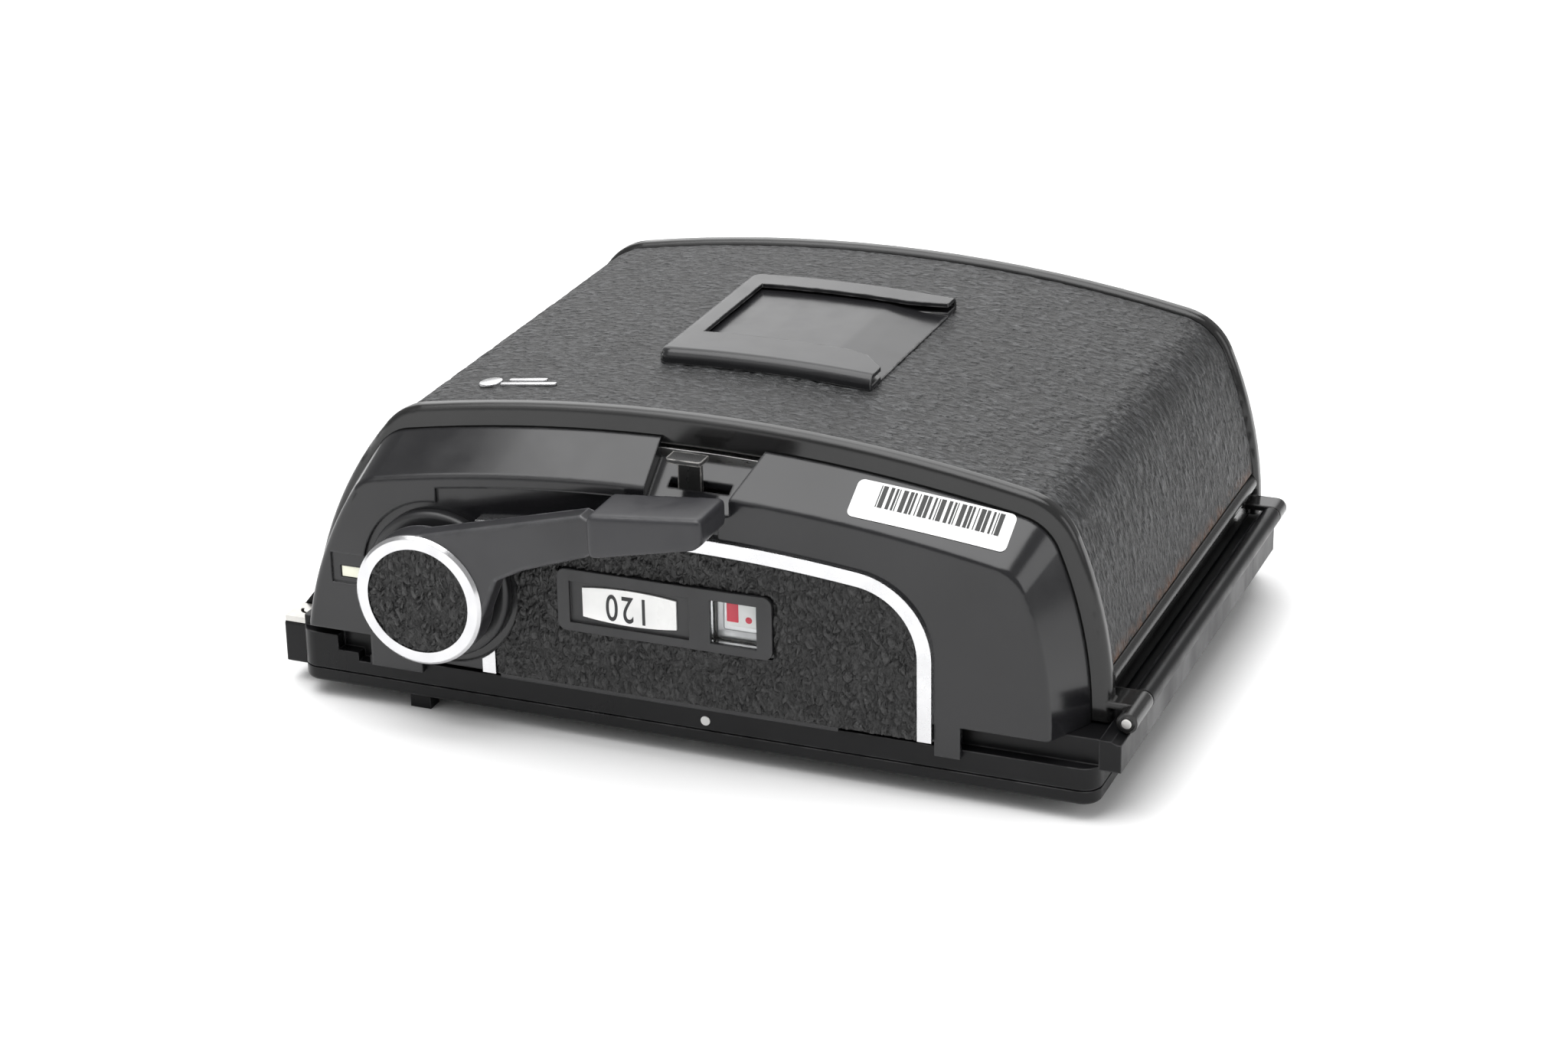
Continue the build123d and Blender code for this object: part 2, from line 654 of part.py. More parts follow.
def make_film_type_label():
    """White film type plate with bowed long edges."""
    bow = 0.45
    middle = (type_x0 + type_x1) / 2
    y0 = type_floor - 0.25
    corners = [Vector(type_x0, y0, type_z0), Vector(type_x1, y0, type_z0), Vector(type_x1, y0, type_z1),
               Vector(type_x0, y0, type_z1)]
    edges = [
        Edge.make_three_point_arc(corners[0], Vector(middle, y0, type_z0 - bow), corners[1]),
        Edge.make_line(corners[1], corners[2]),
        Edge.make_three_point_arc(corners[2], Vector(middle, y0, type_z1 + bow), corners[3]),
        Edge.make_line(corners[3], corners[0]),
    ]
    return extrude(Face(Wire(edges)), amount=0.25, dir=(0, 1, 0))


def make_counter_window():
    """Clear pane in the counter opening."""
    return block(counter_x0 + seat, counter_x1 - seat, front_y - 0.3, front_y + 0.5,
                 counter_z0 + seat, counter_z1 - seat)


# ================================================================ wind lever
arm_neck = 23.0             # hub axis to the collar of the grip


def make_lever_arm():
    """Cast arm: round hub, tapering arm and the thin tongue inside the grip."""
    y0 = -hub_face + 0.5
    y1 = y0 + arm_thick
    hub = rod_y(lever_x, lever_z, hub_radius, y0, y1)
    end_low = (lever_x + 23.6, lever_z + 9.2)
    end_high = (lever_x + 23.4, lever_z + 15.0)
    tongue_low = (lever_x + 34.0, lever_z + 13.4)
    tongue_high = (lever_x + 34.0, lever_z + 15.6)
    start_low = (lever_x + 8.4, lever_z - 2.9)
    knee = (lever_x + 11.2, lever_z + 4.2)
    arm = prism_y([(lever_x, lever_z), start_low, knee, (lever_x + 15.0, lever_z + 6.2), end_low,
                   (lever_x + 24.6, lever_z + 9.8), tongue_low, tongue_high, (lever_x + 24.6, lever_z + 14.6),
                   end_high, (lever_x - 0.6, lever_z + 8.85)], y0, y1 - 0.6)
    lever = hub + arm
    front = [e for e in lever.edges() if abs(e.center().Y - y0) < 0.01 and e.center().X < lever_x + arm_neck
             and hypot(e.center().X - lever_x, e.center().Z - lever_z) > hub_radius]
    lever = fillet(front, 0.5)
    lever -= rod_y(lever_x, lever_z, hub_radius - 1.4, y0 - 1, y0 + 0.8)
    lever -= rod_y(lever_x, lever_z, lever_shaft + seat, -60, 0)
    return lever


def make_lever_grip():
    """Finger grip moulded over the arm's tongue."""
    x0 = lever_x + 26.0
    x1 = lever_x + 41.6
    z_left = lever_z + 10.9
    outline = [(x0, z_left), (x1 - 1.2, lever_z + 14.0), (x1, lever_z + 15.0), (x1, lever_z + 18.4),
               (x0, lever_z + 16.9)]
    grip = prism_y(outline, -grip_front, -grip_back)
    edges = [e for e in grip.edges().filter_by(Axis.Y)]
    grip = fillet(edges, 0.7)
    front = [e for e in grip.edges() if abs(e.center().Y + grip_front) < 0.01]
    grip = fillet(front, 0.6)
    y0 = -hub_face + 0.5
    y1 = y0 + arm_thick - 0.6
    tongue = prism_y([(lever_x + 24.6, lever_z + 9.8 - seat), (lever_x + 34.0 + seat, lever_z + 13.4 - seat),
                      (lever_x + 34.0 + seat, lever_z + 15.6 + seat), (lever_x + 24.6, lever_z + 14.6 + seat)],
                     y0 - seat, y1 + seat)
    return grip - tongue


grip_front = housing_reach + 9.8
grip_back = housing_reach + 1.6


def make_hub_ring():
    """Bevelled bright ring round the hub's disc."""
    y0 = -hub_face
    ring = rod_y(lever_x, lever_z, hub_radius, y0, y0 + 0.5)
    ring += rod_y(lever_x, lever_z, hub_radius - 1.4 - seat, y0, y0 + 1.3)
    outer = [e for e in ring.edges() if abs(e.center().Y - y0) < 0.01]
    ring = chamfer(outer, 0.4)
    return ring - rod_y(lever_x, lever_z, disc_radius + seat, -60, 0)


disc_radius = 7.2


def make_hub_disc():
    """Leather disc let into the ring."""
    return rod_y(lever_x, lever_z, disc_radius, -hub_face + 0.1, -hub_face + 1.2)


# ================================================================ back cover
def make_cover_shell():
    """Arched back with raised rims, lips, and the outer knuckles of the hinge."""
    under = rim_rise
    shell = arch_offset(under, cover_foot, -cover_reach, cover_reach)
    for y in (-cover_reach, cover_reach - rim_width):
        rim = arch_offset(0, cover_foot, y, y + rim_width)
        rounded = [e for e in rim.edges() if abs(abs(e.center().Y) - cover_reach) < rim_width + 0.01
                   and e.center().Z > cover_foot + 1 and abs(abs(e.center().Y) - cover_reach + rim_width / 2) > 0.5]
        rim = fillet(rounded, 0.9)
        shell += rim
    inside_reach = cover_reach - lip_thick
    shell -= arch_offset(under + cover_wall, cover_foot - 1, -inside_reach, inside_reach)
    shell -= arch_offset(lip_depth, cover_foot - 1, -60, 60)
    # knuckles and their leaves at the ends of the hinge
    for y0, y1 in ((near_knuckle_y0, -knuckle_joint), (knuckle_joint - gap * 3, far_knuckle_y1)):
        knuckle = rod_y(pin_x, pin_z, knuckle_radius, y0, y1)
        leaf_x0 = hinge_end(rim_rise + 0.6, pin_z)
        leaf_y0 = max(y0, -cover_reach)
        knuckle += block(leaf_x0, pin_x, leaf_y0, y1, pin_z + knuckle_radius - 0.8, pin_z + knuckle_radius)
        shell += knuckle
    shell -= rod_y(pin_x, pin_z, pin_radius + run_fit, -60, 60)
    return shell


cover_foot = frame_top + 0.4
near_knuckle_y0 = -cover_reach - 2.4
far_knuckle_y1 = cover_reach - 2.1


def make_cover_leather():
    """Leather laid over the arch between the rims."""
    reach = cover_reach - rim_width - 0.1
    outer = arch_offset(rim_rise - leather_thick, leather_foot, -reach, reach)
    inner = arch_offset(rim_rise - seat / 2, leather_foot - 1, -reach - 1, reach + 1)
    return outer - inner


memo_x0 = -13.3
memo_x1 = 17.0
memo_y0 = -18.0
memo_y1 = 15.9
memo_sheet = 0.6
memo_height = 2.0
memo_rail_near = 8.0
memo_rail_far = 5.0
memo_flare = 6.0            # length over which the rails' inner corners curve away
memo_plate_thick = 0.4
memo_ramp = 8.0             # length of the slope at the open end
memo_bed = rim_rise - leather_thick - seat      # drop of the leather's face


def arch_band(low, high, x0, x1, y0, y1):
    """Slab bent along the arch, from one height above the leather to another."""
    upper = arch_offset(memo_bed - high, leather_foot, y0, y1)
    lower = arch_offset(memo_bed - low, leather_foot - 1, y0 - 1, y1 + 1)
    return (upper - lower) & block(x0, x1, y0, y1, leather_foot, 60)


def make_memo_holder():
    """Folded sheet tray that holds the torn end of a film box, open towards the hinge."""
    tray = arch_band(0, memo_height, memo_x0, memo_x1, memo_y0, memo_y1)
    tray = round_upright(tray, 2.0, lambda e: e.center().X < memo_x0 + 1)
    tray -= arch_band(memo_sheet, memo_height - memo_sheet, memo_x0 + memo_sheet, memo_x1 + 1,
                      memo_y0 + memo_sheet, memo_y1 - memo_sheet)
    rail_y0 = memo_y0 + memo_rail_near
    rail_y1 = memo_y1 - memo_rail_far
    window = block(memo_x0 + 3.5, memo_x1 + 1, rail_y0, rail_y1, leather_foot, 60)
    near_flare = prism_z([(memo_x1 - memo_flare, rail_y0 + 0.1), (memo_x1 - memo_flare / 2, rail_y0 - 0.9),
                          (memo_x1 + 0.1, rail_y0 - 4.2), (memo_x1 + 0.1, rail_y0 + 0.1)])
    far_flare = prism_z([(memo_x1 - memo_flare, rail_y1 - 0.1), (memo_x1 - memo_flare / 2, rail_y1 + 0.5),
                         (memo_x1 + 0.1, rail_y1 + 1.6), (memo_x1 + 0.1, rail_y1 - 0.1)])
    floor_top = arch_offset(memo_bed - memo_sheet, leather_foot - 1, memo_y0 - 1, memo_y1 + 1)
    opening = window + near_flare + far_flare
    tray -= opening - floor_top
    tray -= opening & above_memo_ramp()
    long_edges = [e for e in tray.edges() if e.length > memo_x1 - memo_x0 - 4
                  and (e.center().Y < memo_y0 + 0.1 or e.center().Y > memo_y1 - 0.1)
                  and e.center().Z > crown_height]
    return fillet(long_edges, 1.3)


def prism_z(points):
    """Tall upright prism over a closed outline of (x, y) points."""
    outline = Wire.make_polygon([Vector(x, y, leather_foot) for x, y in points], close=True)
    return extrude(Face(outline), amount=60 - leather_foot, dir=(0, 0, 1))


def above_memo_ramp():
    """Room above the slope that runs down to the leather at the holder's open end."""
    start_x = memo_x1 - memo_ramp
    start_z = crown_at(memo_bed, start_x) + memo_sheet + seat + memo_plate_thick
    end_x = memo_x1 + 1
    end_z = crown_at(memo_bed, end_x) + 0.1
    return prism_y([(start_x, start_z), (end_x, end_z), (end_x, 60), (start_x, 60)], memo_y0, memo_y1)


def make_memo_plate():
    """Springy plate that presses the card up against the rails and thins out along the slope."""
    low = memo_sheet + seat
    thin_x = memo_x1 - memo_ramp / 2 - 1.0
    plate = arch_band(low, low + memo_plate_thick, memo_x0 + 1.2, thin_x, memo_y0 + 2.0, memo_y1 - 2.0)
    return plate - above_memo_ramp()


def make_cover_catch():
    """Hooked tongue on the cover's latch end."""
    x0 = pocket_x0 + gap + 0.2
    x1 = x0 + 0.9
    wall_x = -latch_end(rim_rise + cover_wall, cover_foot + 2)
    top = cover_foot + 4
    low = pocket_floor + 0.5
    tongue = block(-wall_x - 0.6, x1, -catch_reach, catch_reach, cover_foot + 0.3, top) - outside_cover_wall()
    tongue += block(x0, x1, -catch_reach, catch_reach, low, cover_foot + 1)
    tongue += block(x0, x1, catch_reach, catch_reach + catch_toe, low, nose_z0 - gap)
    return tongue


def outside_cover_wall():
    """Space outside the cover's inner wall."""
    big = block(-90, 90, -50, 50, -5, 60)
    return big - arch_offset(rim_rise + cover_wall + seat, -4, -49, 49)


# ================================================================ latch end
latch_y0 = -cover_reach - 2.6
latch_out = -half_length - 4.0
latch_top = frame_top - 1.4
latch_plate_y1 = latch_y0 + 4.6
latch_y1 = nose_y1 + latch_travel + 2.0


def make_latch_block():
    """Block on the latch end that guides the cover latch."""
    lug = block(latch_out, -half_length, latch_y0, latch_y1, 0.4, latch_top - 0.8)
    lug = fillet(lug.edges().filter_by(Axis.X).filter_by_position(Axis.Y, latch_y0 - 1, latch_y0 + 1), 0.4)
    lug -= block(latch_out + 1.0, -half_length + 1, latch_plate_y1, latch_y1 - 1.2, 3.0, 20)
    return lug


def make_latch_plate():
    """Bright plate on the latch block, with a curved slot."""
    plate = block(latch_out + 0.1, -half_length, latch_y0 + 0.1, latch_plate_y1, latch_top - 0.8, latch_top)
    ring_x = latch_out + 2.6
    ring_y = latch_y0 + 3.0
    ring = rod_z(ring_x, ring_y, 1.5, 0, 20) - rod_z(ring_x, ring_y, 1.1, 0, 20)
    ring &= block(latch_out, -half_length + 6, latch_y0 - 20, ring_y, 0, 20)
    return plate - ring


def make_cover_latch():
    """Sliding latch: bevelled thumb piece outside and its bar in the block's groove."""
    y0 = latch_plate_y1 + gap
    y1 = y0 + 22
    x1 = -half_length - 0.9
    thumb_top = frame_top + 1.0
    thumb = prism_y([(latch_out, latch_top - 0.5), (latch_out + 0.6, latch_top), (x1 - 0.6, thumb_top),
                     (x1, thumb_top), (x1, latch_top - 0.5)], y0, y1)
    bar = block(latch_out + 1.3, -half_length - gap, y0, nose_y1, 3.3, latch_top - 0.5)
    nose = block(-half_length - 0.5, pocket_x0 + 1.4, nose_y0, nose_y1, nose_z0, nose_z1)
    return thumb + bar + nose


# ================================================================ dark slide and interlock
handle_half = 2.2           # half the handle's thickness
handle_seat = 6.0           # how far the sheet reaches into the handle past the base


def make_dark_slide():
    """Thin steel sheet that closes the film gate."""
    sheet = block(-slide_width / 2, slide_width / 2, -slide_end, far_reach + handle_seat,
                  plate_thick + gap / 2, plate_thick + gap / 2 + slide_thick)
    return round_upright(sheet, 3.0, lambda e: e.center().Y < 0)


def make_slide_handle():
    """Moulded bar on the outer end of the slide."""
    middle = plate_thick + gap / 2 + slide_thick / 2
    bar = block(-slide_width / 2 - 1, slide_width / 2 + 1, far_reach + 1.2, far_reach + 9,
                middle - handle_half, middle + handle_half)
    bar = round_upright(bar, 2.5)
    rails = [e for e in bar.edges() if abs(abs(e.center().Z - middle) - handle_half) < 0.01]
    bar = fillet(rails, 0.8)
    return bar - block(-slide_width / 2, slide_width / 2, 0, far_reach + handle_seat,
                       middle - slide_thick / 2, middle + slide_thick / 2)


def make_slide_seal():
    """Plush strip that keeps light out of the slide's slot."""
    top = plate_thick + slide_thick + 2 * gap
    return block(-slide_width / 2, slide_width / 2, far_reach - 6, far_reach - 3, top - seat - 0.25, top - seat)


def make_interlock_pin():
    """Sprung pin that tells the camera a magazine is on."""
    pin = rod_z(interlock_x, interlock_y, interlock_radius, -1.5, 5.0)
    return pin + rod_z(interlock_x, interlock_y, interlock_radius + 0.7, 4.1, 5.0)


def make_plate_screws():
    """Screws that hold the camera side plate to the frame."""
    screws = []
    for x, y in plate_screws:
        screw = rod_z(x, y, screw_head, 0.1, screw_sink)
        screw += rod_z(x, y, screw_shank - seat, screw_sink, 4.6)
        screw -= block(x - 2, x + 2, y - 0.2, y + 0.2, 0, 0.5)
        screws.append(screw.solid() if hasattr(screw, "solid") else screw)
    return Compound(children=screws)


dot_x = 3.4
dot_z = 3.4
dot_radius = 0.65
dot_thick = 0.12


def make_index_dot():
    """White paint dot on the base's lever side."""
    return rod_y(dot_x, dot_z, dot_radius, -near_reach - dot_thick, -near_reach)


# ================================================================ film insert
insert_wall = 0.9
cheek_y = spool_length / 2 + 0.5


def make_insert_cheek(side):
    """Side of the film insert, which carries the spools and rollers."""
    y0 = -cheek_y - insert_wall if side < 0 else cheek_y
    cheek = arch_solid(6.0, 6.5, insert_foot, 4.0, y0, y0 + insert_wall)
    if side < 0:
        cheek -= rod_y(-spool_x, spool_z, take_up_shaft + run_fit, -60, 0)
    for x in (-roller_x, roller_x):
        cheek -= rod_y(x, roller_z, axle_radius - 0.2, -60, 60)
    return cheek


insert_foot = frame_top + 1.3
roller_x = half_length - 13.0
roller_z = frame_top + 4.0
roller_radius = 2.4
axle_radius = 1.0


def make_insert_bridge():
    """Cross bridge between the spools that ties the two cheeks together."""
    return block(-bridge_half, bridge_half, -cheek_y, cheek_y, bridge_z, bridge_z + 1.0)


bridge_half = 15.0
bridge_z = frame_top + 5.0
plate_z = frame_top + 1.3 + 0.05


def make_pressure_plate():
    """Flat plate that holds the film on the rails."""
    reach_x = gate_length / 2 + 3.75
    reach_y = gate_width / 2 + 3.2
    plate = block(-reach_x, reach_x, -reach_y, reach_y, plate_z, plate_z + 1.0)
    plate = round_upright(plate, 1.5)
    return plate


def make_plate_springs():
    """Two bowed leaf springs between the bridge and the pressure plate."""
    springs = []
    top = bridge_z
    low = plate_z + 1.0
    leaf = 0.3
    foot = 3.0
    knee = 9.0
    tip = bridge_half - 2
    outline = [(-tip, top), (-knee, top), (-foot, low + leaf), (foot, low + leaf), (knee, top), (tip, top),
               (tip, top - leaf), (knee + 0.2, top - leaf), (foot + 0.2, low), (-foot - 0.2, low),
               (-knee - 0.2, top - leaf), (-tip, top - leaf)]
    for y in (-16, 16):
        springs.append(prism_y(outline, y - 3, y + 3).solid())
    return Compound(children=springs)


def make_roller(x):
    roller = rod_y(x, roller_z, roller_radius, -cheek_y + gap, cheek_y - gap)
    return roller - rod_y(x, roller_z, axle_radius + run_fit, -60, 60)


def make_roller_axles():
    axles = []
    for x in (-roller_x, roller_x):
        axle = rod_y(x, roller_z, axle_radius, -cheek_y, cheek_y)
        axle += rod_y(x, roller_z, axle_radius - 0.2, -cheek_y - insert_wall, cheek_y + insert_wall)
        axles.append(axle.solid())
    return Compound(children=axles)


def make_spool(x):
    """Roll film spool: hollow core and two flanges."""
    half = spool_length / 2
    spool = rod_y(x, spool_z, spool_core, -half, half)
    for y0, y1 in ((-half, -half + 1.2), (half - 1.2, half)):
        spool += rod_y(x, spool_z, spool_flange, y0, y1)
    spool -= rod_y(x, spool_z, spool_bore, -60, 60)
    slot = block(x - 4.6, x + 4.6, -60, -half + 5, spool_z - key_thick / 2 - 0.1, spool_z + key_thick / 2 + 0.1)
    slot += block(x - 4.6, x + 4.6, half - 5, 60, spool_z - key_thick / 2 - 0.1, spool_z + key_thick / 2 + 0.1)
    spool -= slot
    spool -= block(x - 0.6, x + 0.6, -22, 22, spool_z, spool_z + spool_core + 1)
    return spool


def make_spool_studs():
    """Studs on the insert's cheeks that the spools turn on."""
    studs = []
    for x, side in ((-spool_x, 1), (spool_x, 1), (spool_x, -1)):
        y0 = side * (cheek_y - 4.0)
        y1 = side * cheek_y
        stud = rod_y(x, spool_z, spool_bore - run_fit, min(y0, y1), max(y0, y1))
        collar0 = side * (cheek_y - 0.25)
        stud += rod_y(x, spool_z, 4.6, min(collar0, y1), max(collar0, y1))
        studs.append(stud.solid())
    return Compound(children=studs)


# ================================================================ write every node
nodes = {
    "base_plate": make_base_plate(),
    "base_frame": make_base_frame(),
    "hinge_flange": make_hinge_flange(),
    "name_strip": make_name_strip(),
    "hinge_pin": make_hinge_pin(),
    "gate_frame": make_gate_frame(),
    "near_cheek_wall": make_cheek_wall(-1),
    "far_cheek_wall": make_cheek_wall(1),
    "gear_plate": make_gear_plate(),
    "gear_pivots": make_pivots(),
    "drive_gear": make_drive_gear(),
    "idler_gear": make_idler_gear(),
    "take_up_gear": make_take_up_gear(),
    "counter_dial": make_counter_dial(),
    "return_pawl": make_pawl(),
    "gear_housing": make_gear_housing(),
    "release_tab": make_release_tab(),
    "signal_bar": make_signal_bar(),
    "lever_boss": make_lever_boss(),
    "chrome_trim": make_chrome_trim(),
    "panel_leather": make_panel_leather(),
    "window_bezel": make_window_bezel(),
    "film_type_label": make_film_type_label(),
    "counter_window": make_counter_window(),
    "lever_arm": make_lever_arm(),
    "lever_grip": make_lever_grip(),
    "hub_ring": make_hub_ring(),
    "hub_disc": make_hub_disc(),
    "cover_shell": make_cover_shell(),
    "cover_leather": make_cover_leather(),
    "memo_holder": make_memo_holder(),
    "memo_plate": make_memo_plate(),
    "cover_catch": make_cover_catch(),
    "latch_block": make_latch_block(),
    "latch_plate": make_latch_plate(),
    "cover_latch": make_cover_latch(),
    "dark_slide": make_dark_slide(),
    "slide_handle": make_slide_handle(),
    "slide_seal": make_slide_seal(),
    "interlock_pin": make_interlock_pin(),
    "plate_screws": make_plate_screws(),
    "index_dot": make_index_dot(),
    "insert_cheek_near": make_insert_cheek(-1),
    "insert_cheek_far": make_insert_cheek(1),
    "insert_bridge": make_insert_bridge(),
    "pressure_plate": make_pressure_plate(),
    "plate_springs": make_plate_springs(),
    "roller_latch_end": make_roller(-roller_x),
    "roller_hinge_end": make_roller(roller_x),
    "roller_axles": make_roller_axles(),
    "take_up_spool": make_spool(-spool_x),
    "supply_spool": make_spool(spool_x),
    "spool_studs": make_spool_studs(),
}
for name, shape in nodes.items():
    save(shape, name)
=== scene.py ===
from math import cos, pi, radians, sin

import bmesh
import bpy
from mathutils import Matrix, Vector, noise
from mathutils.bvhtree import BVHTree


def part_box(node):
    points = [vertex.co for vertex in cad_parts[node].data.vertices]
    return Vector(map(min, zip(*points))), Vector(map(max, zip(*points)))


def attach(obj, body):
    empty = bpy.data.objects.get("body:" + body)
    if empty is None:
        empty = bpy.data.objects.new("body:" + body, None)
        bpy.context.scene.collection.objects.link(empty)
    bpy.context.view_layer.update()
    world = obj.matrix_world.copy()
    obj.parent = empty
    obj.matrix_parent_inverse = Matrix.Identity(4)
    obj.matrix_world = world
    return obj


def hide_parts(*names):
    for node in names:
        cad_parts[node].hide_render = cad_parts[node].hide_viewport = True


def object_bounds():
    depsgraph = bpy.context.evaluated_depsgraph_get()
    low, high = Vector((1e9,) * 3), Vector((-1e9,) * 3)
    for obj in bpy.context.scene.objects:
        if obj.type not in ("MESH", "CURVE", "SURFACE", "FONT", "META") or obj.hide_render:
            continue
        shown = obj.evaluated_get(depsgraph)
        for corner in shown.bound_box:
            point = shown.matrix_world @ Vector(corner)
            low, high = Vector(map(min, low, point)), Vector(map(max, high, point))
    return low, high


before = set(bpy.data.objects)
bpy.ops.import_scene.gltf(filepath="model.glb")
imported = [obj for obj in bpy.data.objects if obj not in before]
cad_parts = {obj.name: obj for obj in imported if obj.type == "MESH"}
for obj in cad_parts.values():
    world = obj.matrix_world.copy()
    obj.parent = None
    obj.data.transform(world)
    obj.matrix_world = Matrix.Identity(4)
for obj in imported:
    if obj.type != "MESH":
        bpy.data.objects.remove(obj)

cad_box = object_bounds()
MM = 0.001

# ------------------------------------------------------------------ base
# Two die cast slabs screwed together: the camera side plate and the frame above it. Both are
# baked with a satin black paint that has gone lighter along its edges.


def start_finish(name, colour, roughness, metallic=0.0):
    """A principled shader with one colour and an even gloss."""
    finish = bpy.data.materials.new(name)
    finish.use_nodes = True
    shader = finish.node_tree.nodes["Principled BSDF"]
    shader.inputs["Base Color"].default_value = (*colour, 1)
    shader.inputs["Roughness"].default_value = roughness
    shader.inputs["Metallic"].default_value = metallic
    return finish, shader


def put(finish, kind, settings=(), **sockets):
    """Adds a node; a, b and c are its first three sockets, and other names are socket names."""
    made = finish.node_tree.nodes.new(kind)
    for key, value in dict(settings).items():
        setattr(made, key, value)
    for key, value in sockets.items():
        socket = made.inputs["abc".index(key)] if key in "abc" else made.inputs[key.replace("_", " ")]
        if isinstance(value, bpy.types.NodeSocket):
            finish.node_tree.links.new(value, socket)
        else:
            socket.default_value = value
    return made


def spots(finish, size, detail=3.0, stretch=(1, 1, 1)):
    """Soft noise from 0 to 1, with features of one size in millimetres."""
    place = put(finish, "ShaderNodeTexCoord").outputs["Object"]
    scale = tuple(s / (size * MM) for s in stretch)
    mapped = put(finish, "ShaderNodeMapping", Vector=place, Scale=scale).outputs["Vector"]
    return put(finish, "ShaderNodeTexNoise", Vector=mapped, Scale=1.0, Detail=detail).outputs["Fac"]


def span(finish, value, low, high, to_low, to_high):
    """Maps one range of a value onto another and clamps it."""
    return put(finish, "ShaderNodeMapRange", Value=value, From_Min=low, From_Max=high,
               To_Min=to_low, To_Max=to_high).outputs["Result"]


def times(finish, first, second):
    """Multiplies two values."""
    return put(finish, "ShaderNodeMath", {"operation": "MULTIPLY"}, a=first, b=second).outputs[0]


def blend_colour(finish, factor, first, second):
    """Mixes two colours, each of them a tuple or a socket."""
    made = finish.node_tree.nodes.new("ShaderNodeMix")
    made.data_type = "RGBA"
    for socket, value in ((made.inputs[0], factor), (made.inputs[6], first), (made.inputs[7], second)):
        if isinstance(value, bpy.types.NodeSocket):
            finish.node_tree.links.new(value, socket)
        else:
            socket.default_value = (*value, 1) if isinstance(value, tuple) else value
    return made.outputs[2]


def worn_edge(finish, radius):
    """1 on the model's outer edges and 0 on its flats, broken up as handling wears paint."""
    first_wear, full_wear = 0.012, 0.07
    rounded = put(finish, "ShaderNodeBevel", {"samples": 6}, Radius=radius * MM).outputs["Normal"]
    flat = put(finish, "ShaderNodeNewGeometry").outputs["Normal"]
    match = put(finish, "ShaderNodeVectorMath", {"operation": "DOT_PRODUCT"},
                a=rounded, b=flat).outputs["Value"]
    turned = put(finish, "ShaderNodeMath", {"operation": "SUBTRACT"}, a=1.0, b=match).outputs[0]
    edge = span(finish, turned, first_wear, full_wear, 0.0, 1.0)
    patches = span(finish, spots(finish, 2.2, 6.0), 0.38, 0.62, 0.15, 1.0)
    return times(finish, edge, patches)


def soft_edges(finish, shader, radius, height, strength, distance):
    """Rounds the model's edges in the shading, under a fine bump."""
    rounded = put(finish, "ShaderNodeBevel", {"samples": 4}, Radius=radius * MM).outputs["Normal"]
    bumped = put(finish, "ShaderNodeBump", Strength=strength, Distance=distance * MM, Height=height,
                 Normal=rounded).outputs["Normal"]
    finish.node_tree.links.new(bumped, shader.inputs["Normal"])


def painted(name, colour, worn, roughness, edge=0.25, wear=1.0, grain=0.35, bump=0.25):
    """Paint or moulded plastic: faint cloudiness, fine grain and edges that have worn lighter."""
    finish, shader = start_finish(name, colour, roughness)
    link = finish.node_tree.links.new
    cloud = span(finish, spots(finish, 14, 4.0), 0.3, 0.7, 0.0, 1.0)
    lighter = tuple(c * 1.45 + 0.002 for c in colour)
    body = blend_colour(finish, cloud, colour, lighter)
    scuff = times(finish, worn_edge(finish, edge), wear)
    link(blend_colour(finish, scuff, body, worn), shader.inputs["Base Color"])
    smear = span(finish, spots(finish, 5, 5.0, (1, 1, 0.4)), 0.3, 0.7, roughness * 0.8, roughness * 1.3)
    link(smear, shader.inputs["Roughness"])
    soft_edges(finish, shader, edge, spots(finish, grain, 4.0), strength=bump, distance=0.012)
    return finish


def dress(finish, *names):
    """Gives CAD nodes a finish."""
    for name in names:
        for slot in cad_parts[name].material_slots:
            slot.material = finish


def brushed(name, colour, roughness, stretch, worn=None):
    """Bare metal with fine lines along one direction and light tarnish."""
    finish, shader = start_finish(name, colour, roughness, 1.0)
    link = finish.node_tree.links.new
    tarnish = span(finish, spots(finish, 3.5, 5.0), 0.35, 0.75, 0.0, 0.5)
    dull = worn or tuple(c * 0.6 for c in colour)
    link(blend_colour(finish, tarnish, colour, dull), shader.inputs["Base Color"])
    lines = spots(finish, 0.25, 3.0, stretch)
    link(span(finish, lines, 0.2, 0.8, roughness * 0.75, roughness * 1.35), shader.inputs["Roughness"])
    soft_edges(finish, shader, 0.12, lines, strength=0.12, distance=0.006)
    return finish


base_paint = painted("base_paint", (0.004, 0.004, 0.0045), (0.07, 0.07, 0.072),
                     0.32, edge=0.3, wear=0.8)
base_paint.node_tree.nodes["Principled BSDF"].inputs["Specular IOR Level"].default_value = 0.2
dress(base_paint, "base_plate", "base_frame")
steel = brushed("mechanism_steel", (0.55, 0.55, 0.54), 0.3, (0.15, 1, 1))
dress(steel, "plate_screws", "interlock_pin")
dot_paint = painted("index_paint", (0.46, 0.46, 0.45), (0.35, 0.35, 0.34), 0.5, edge=0.1, wear=0.3)
dress(dot_paint, "index_dot")

# ------------------------------------------------------------------ hinge
# The flange along the hinge end with its rolled middle knuckle, the blank strip let into it and
# the steel pin whose riveted end shows at the lever side.
dress(base_paint, "hinge_flange")
strip_paint = painted("strip_paint", (0.017, 0.017, 0.018), (0.06, 0.06, 0.06),
                      0.42, edge=0.06, wear=0.3)
dress(strip_paint, "name_strip")
pin_steel = brushed("pin_steel", (0.72, 0.71, 0.69), 0.34, (1, 0.2, 1))
dress(pin_steel, "hinge_pin")

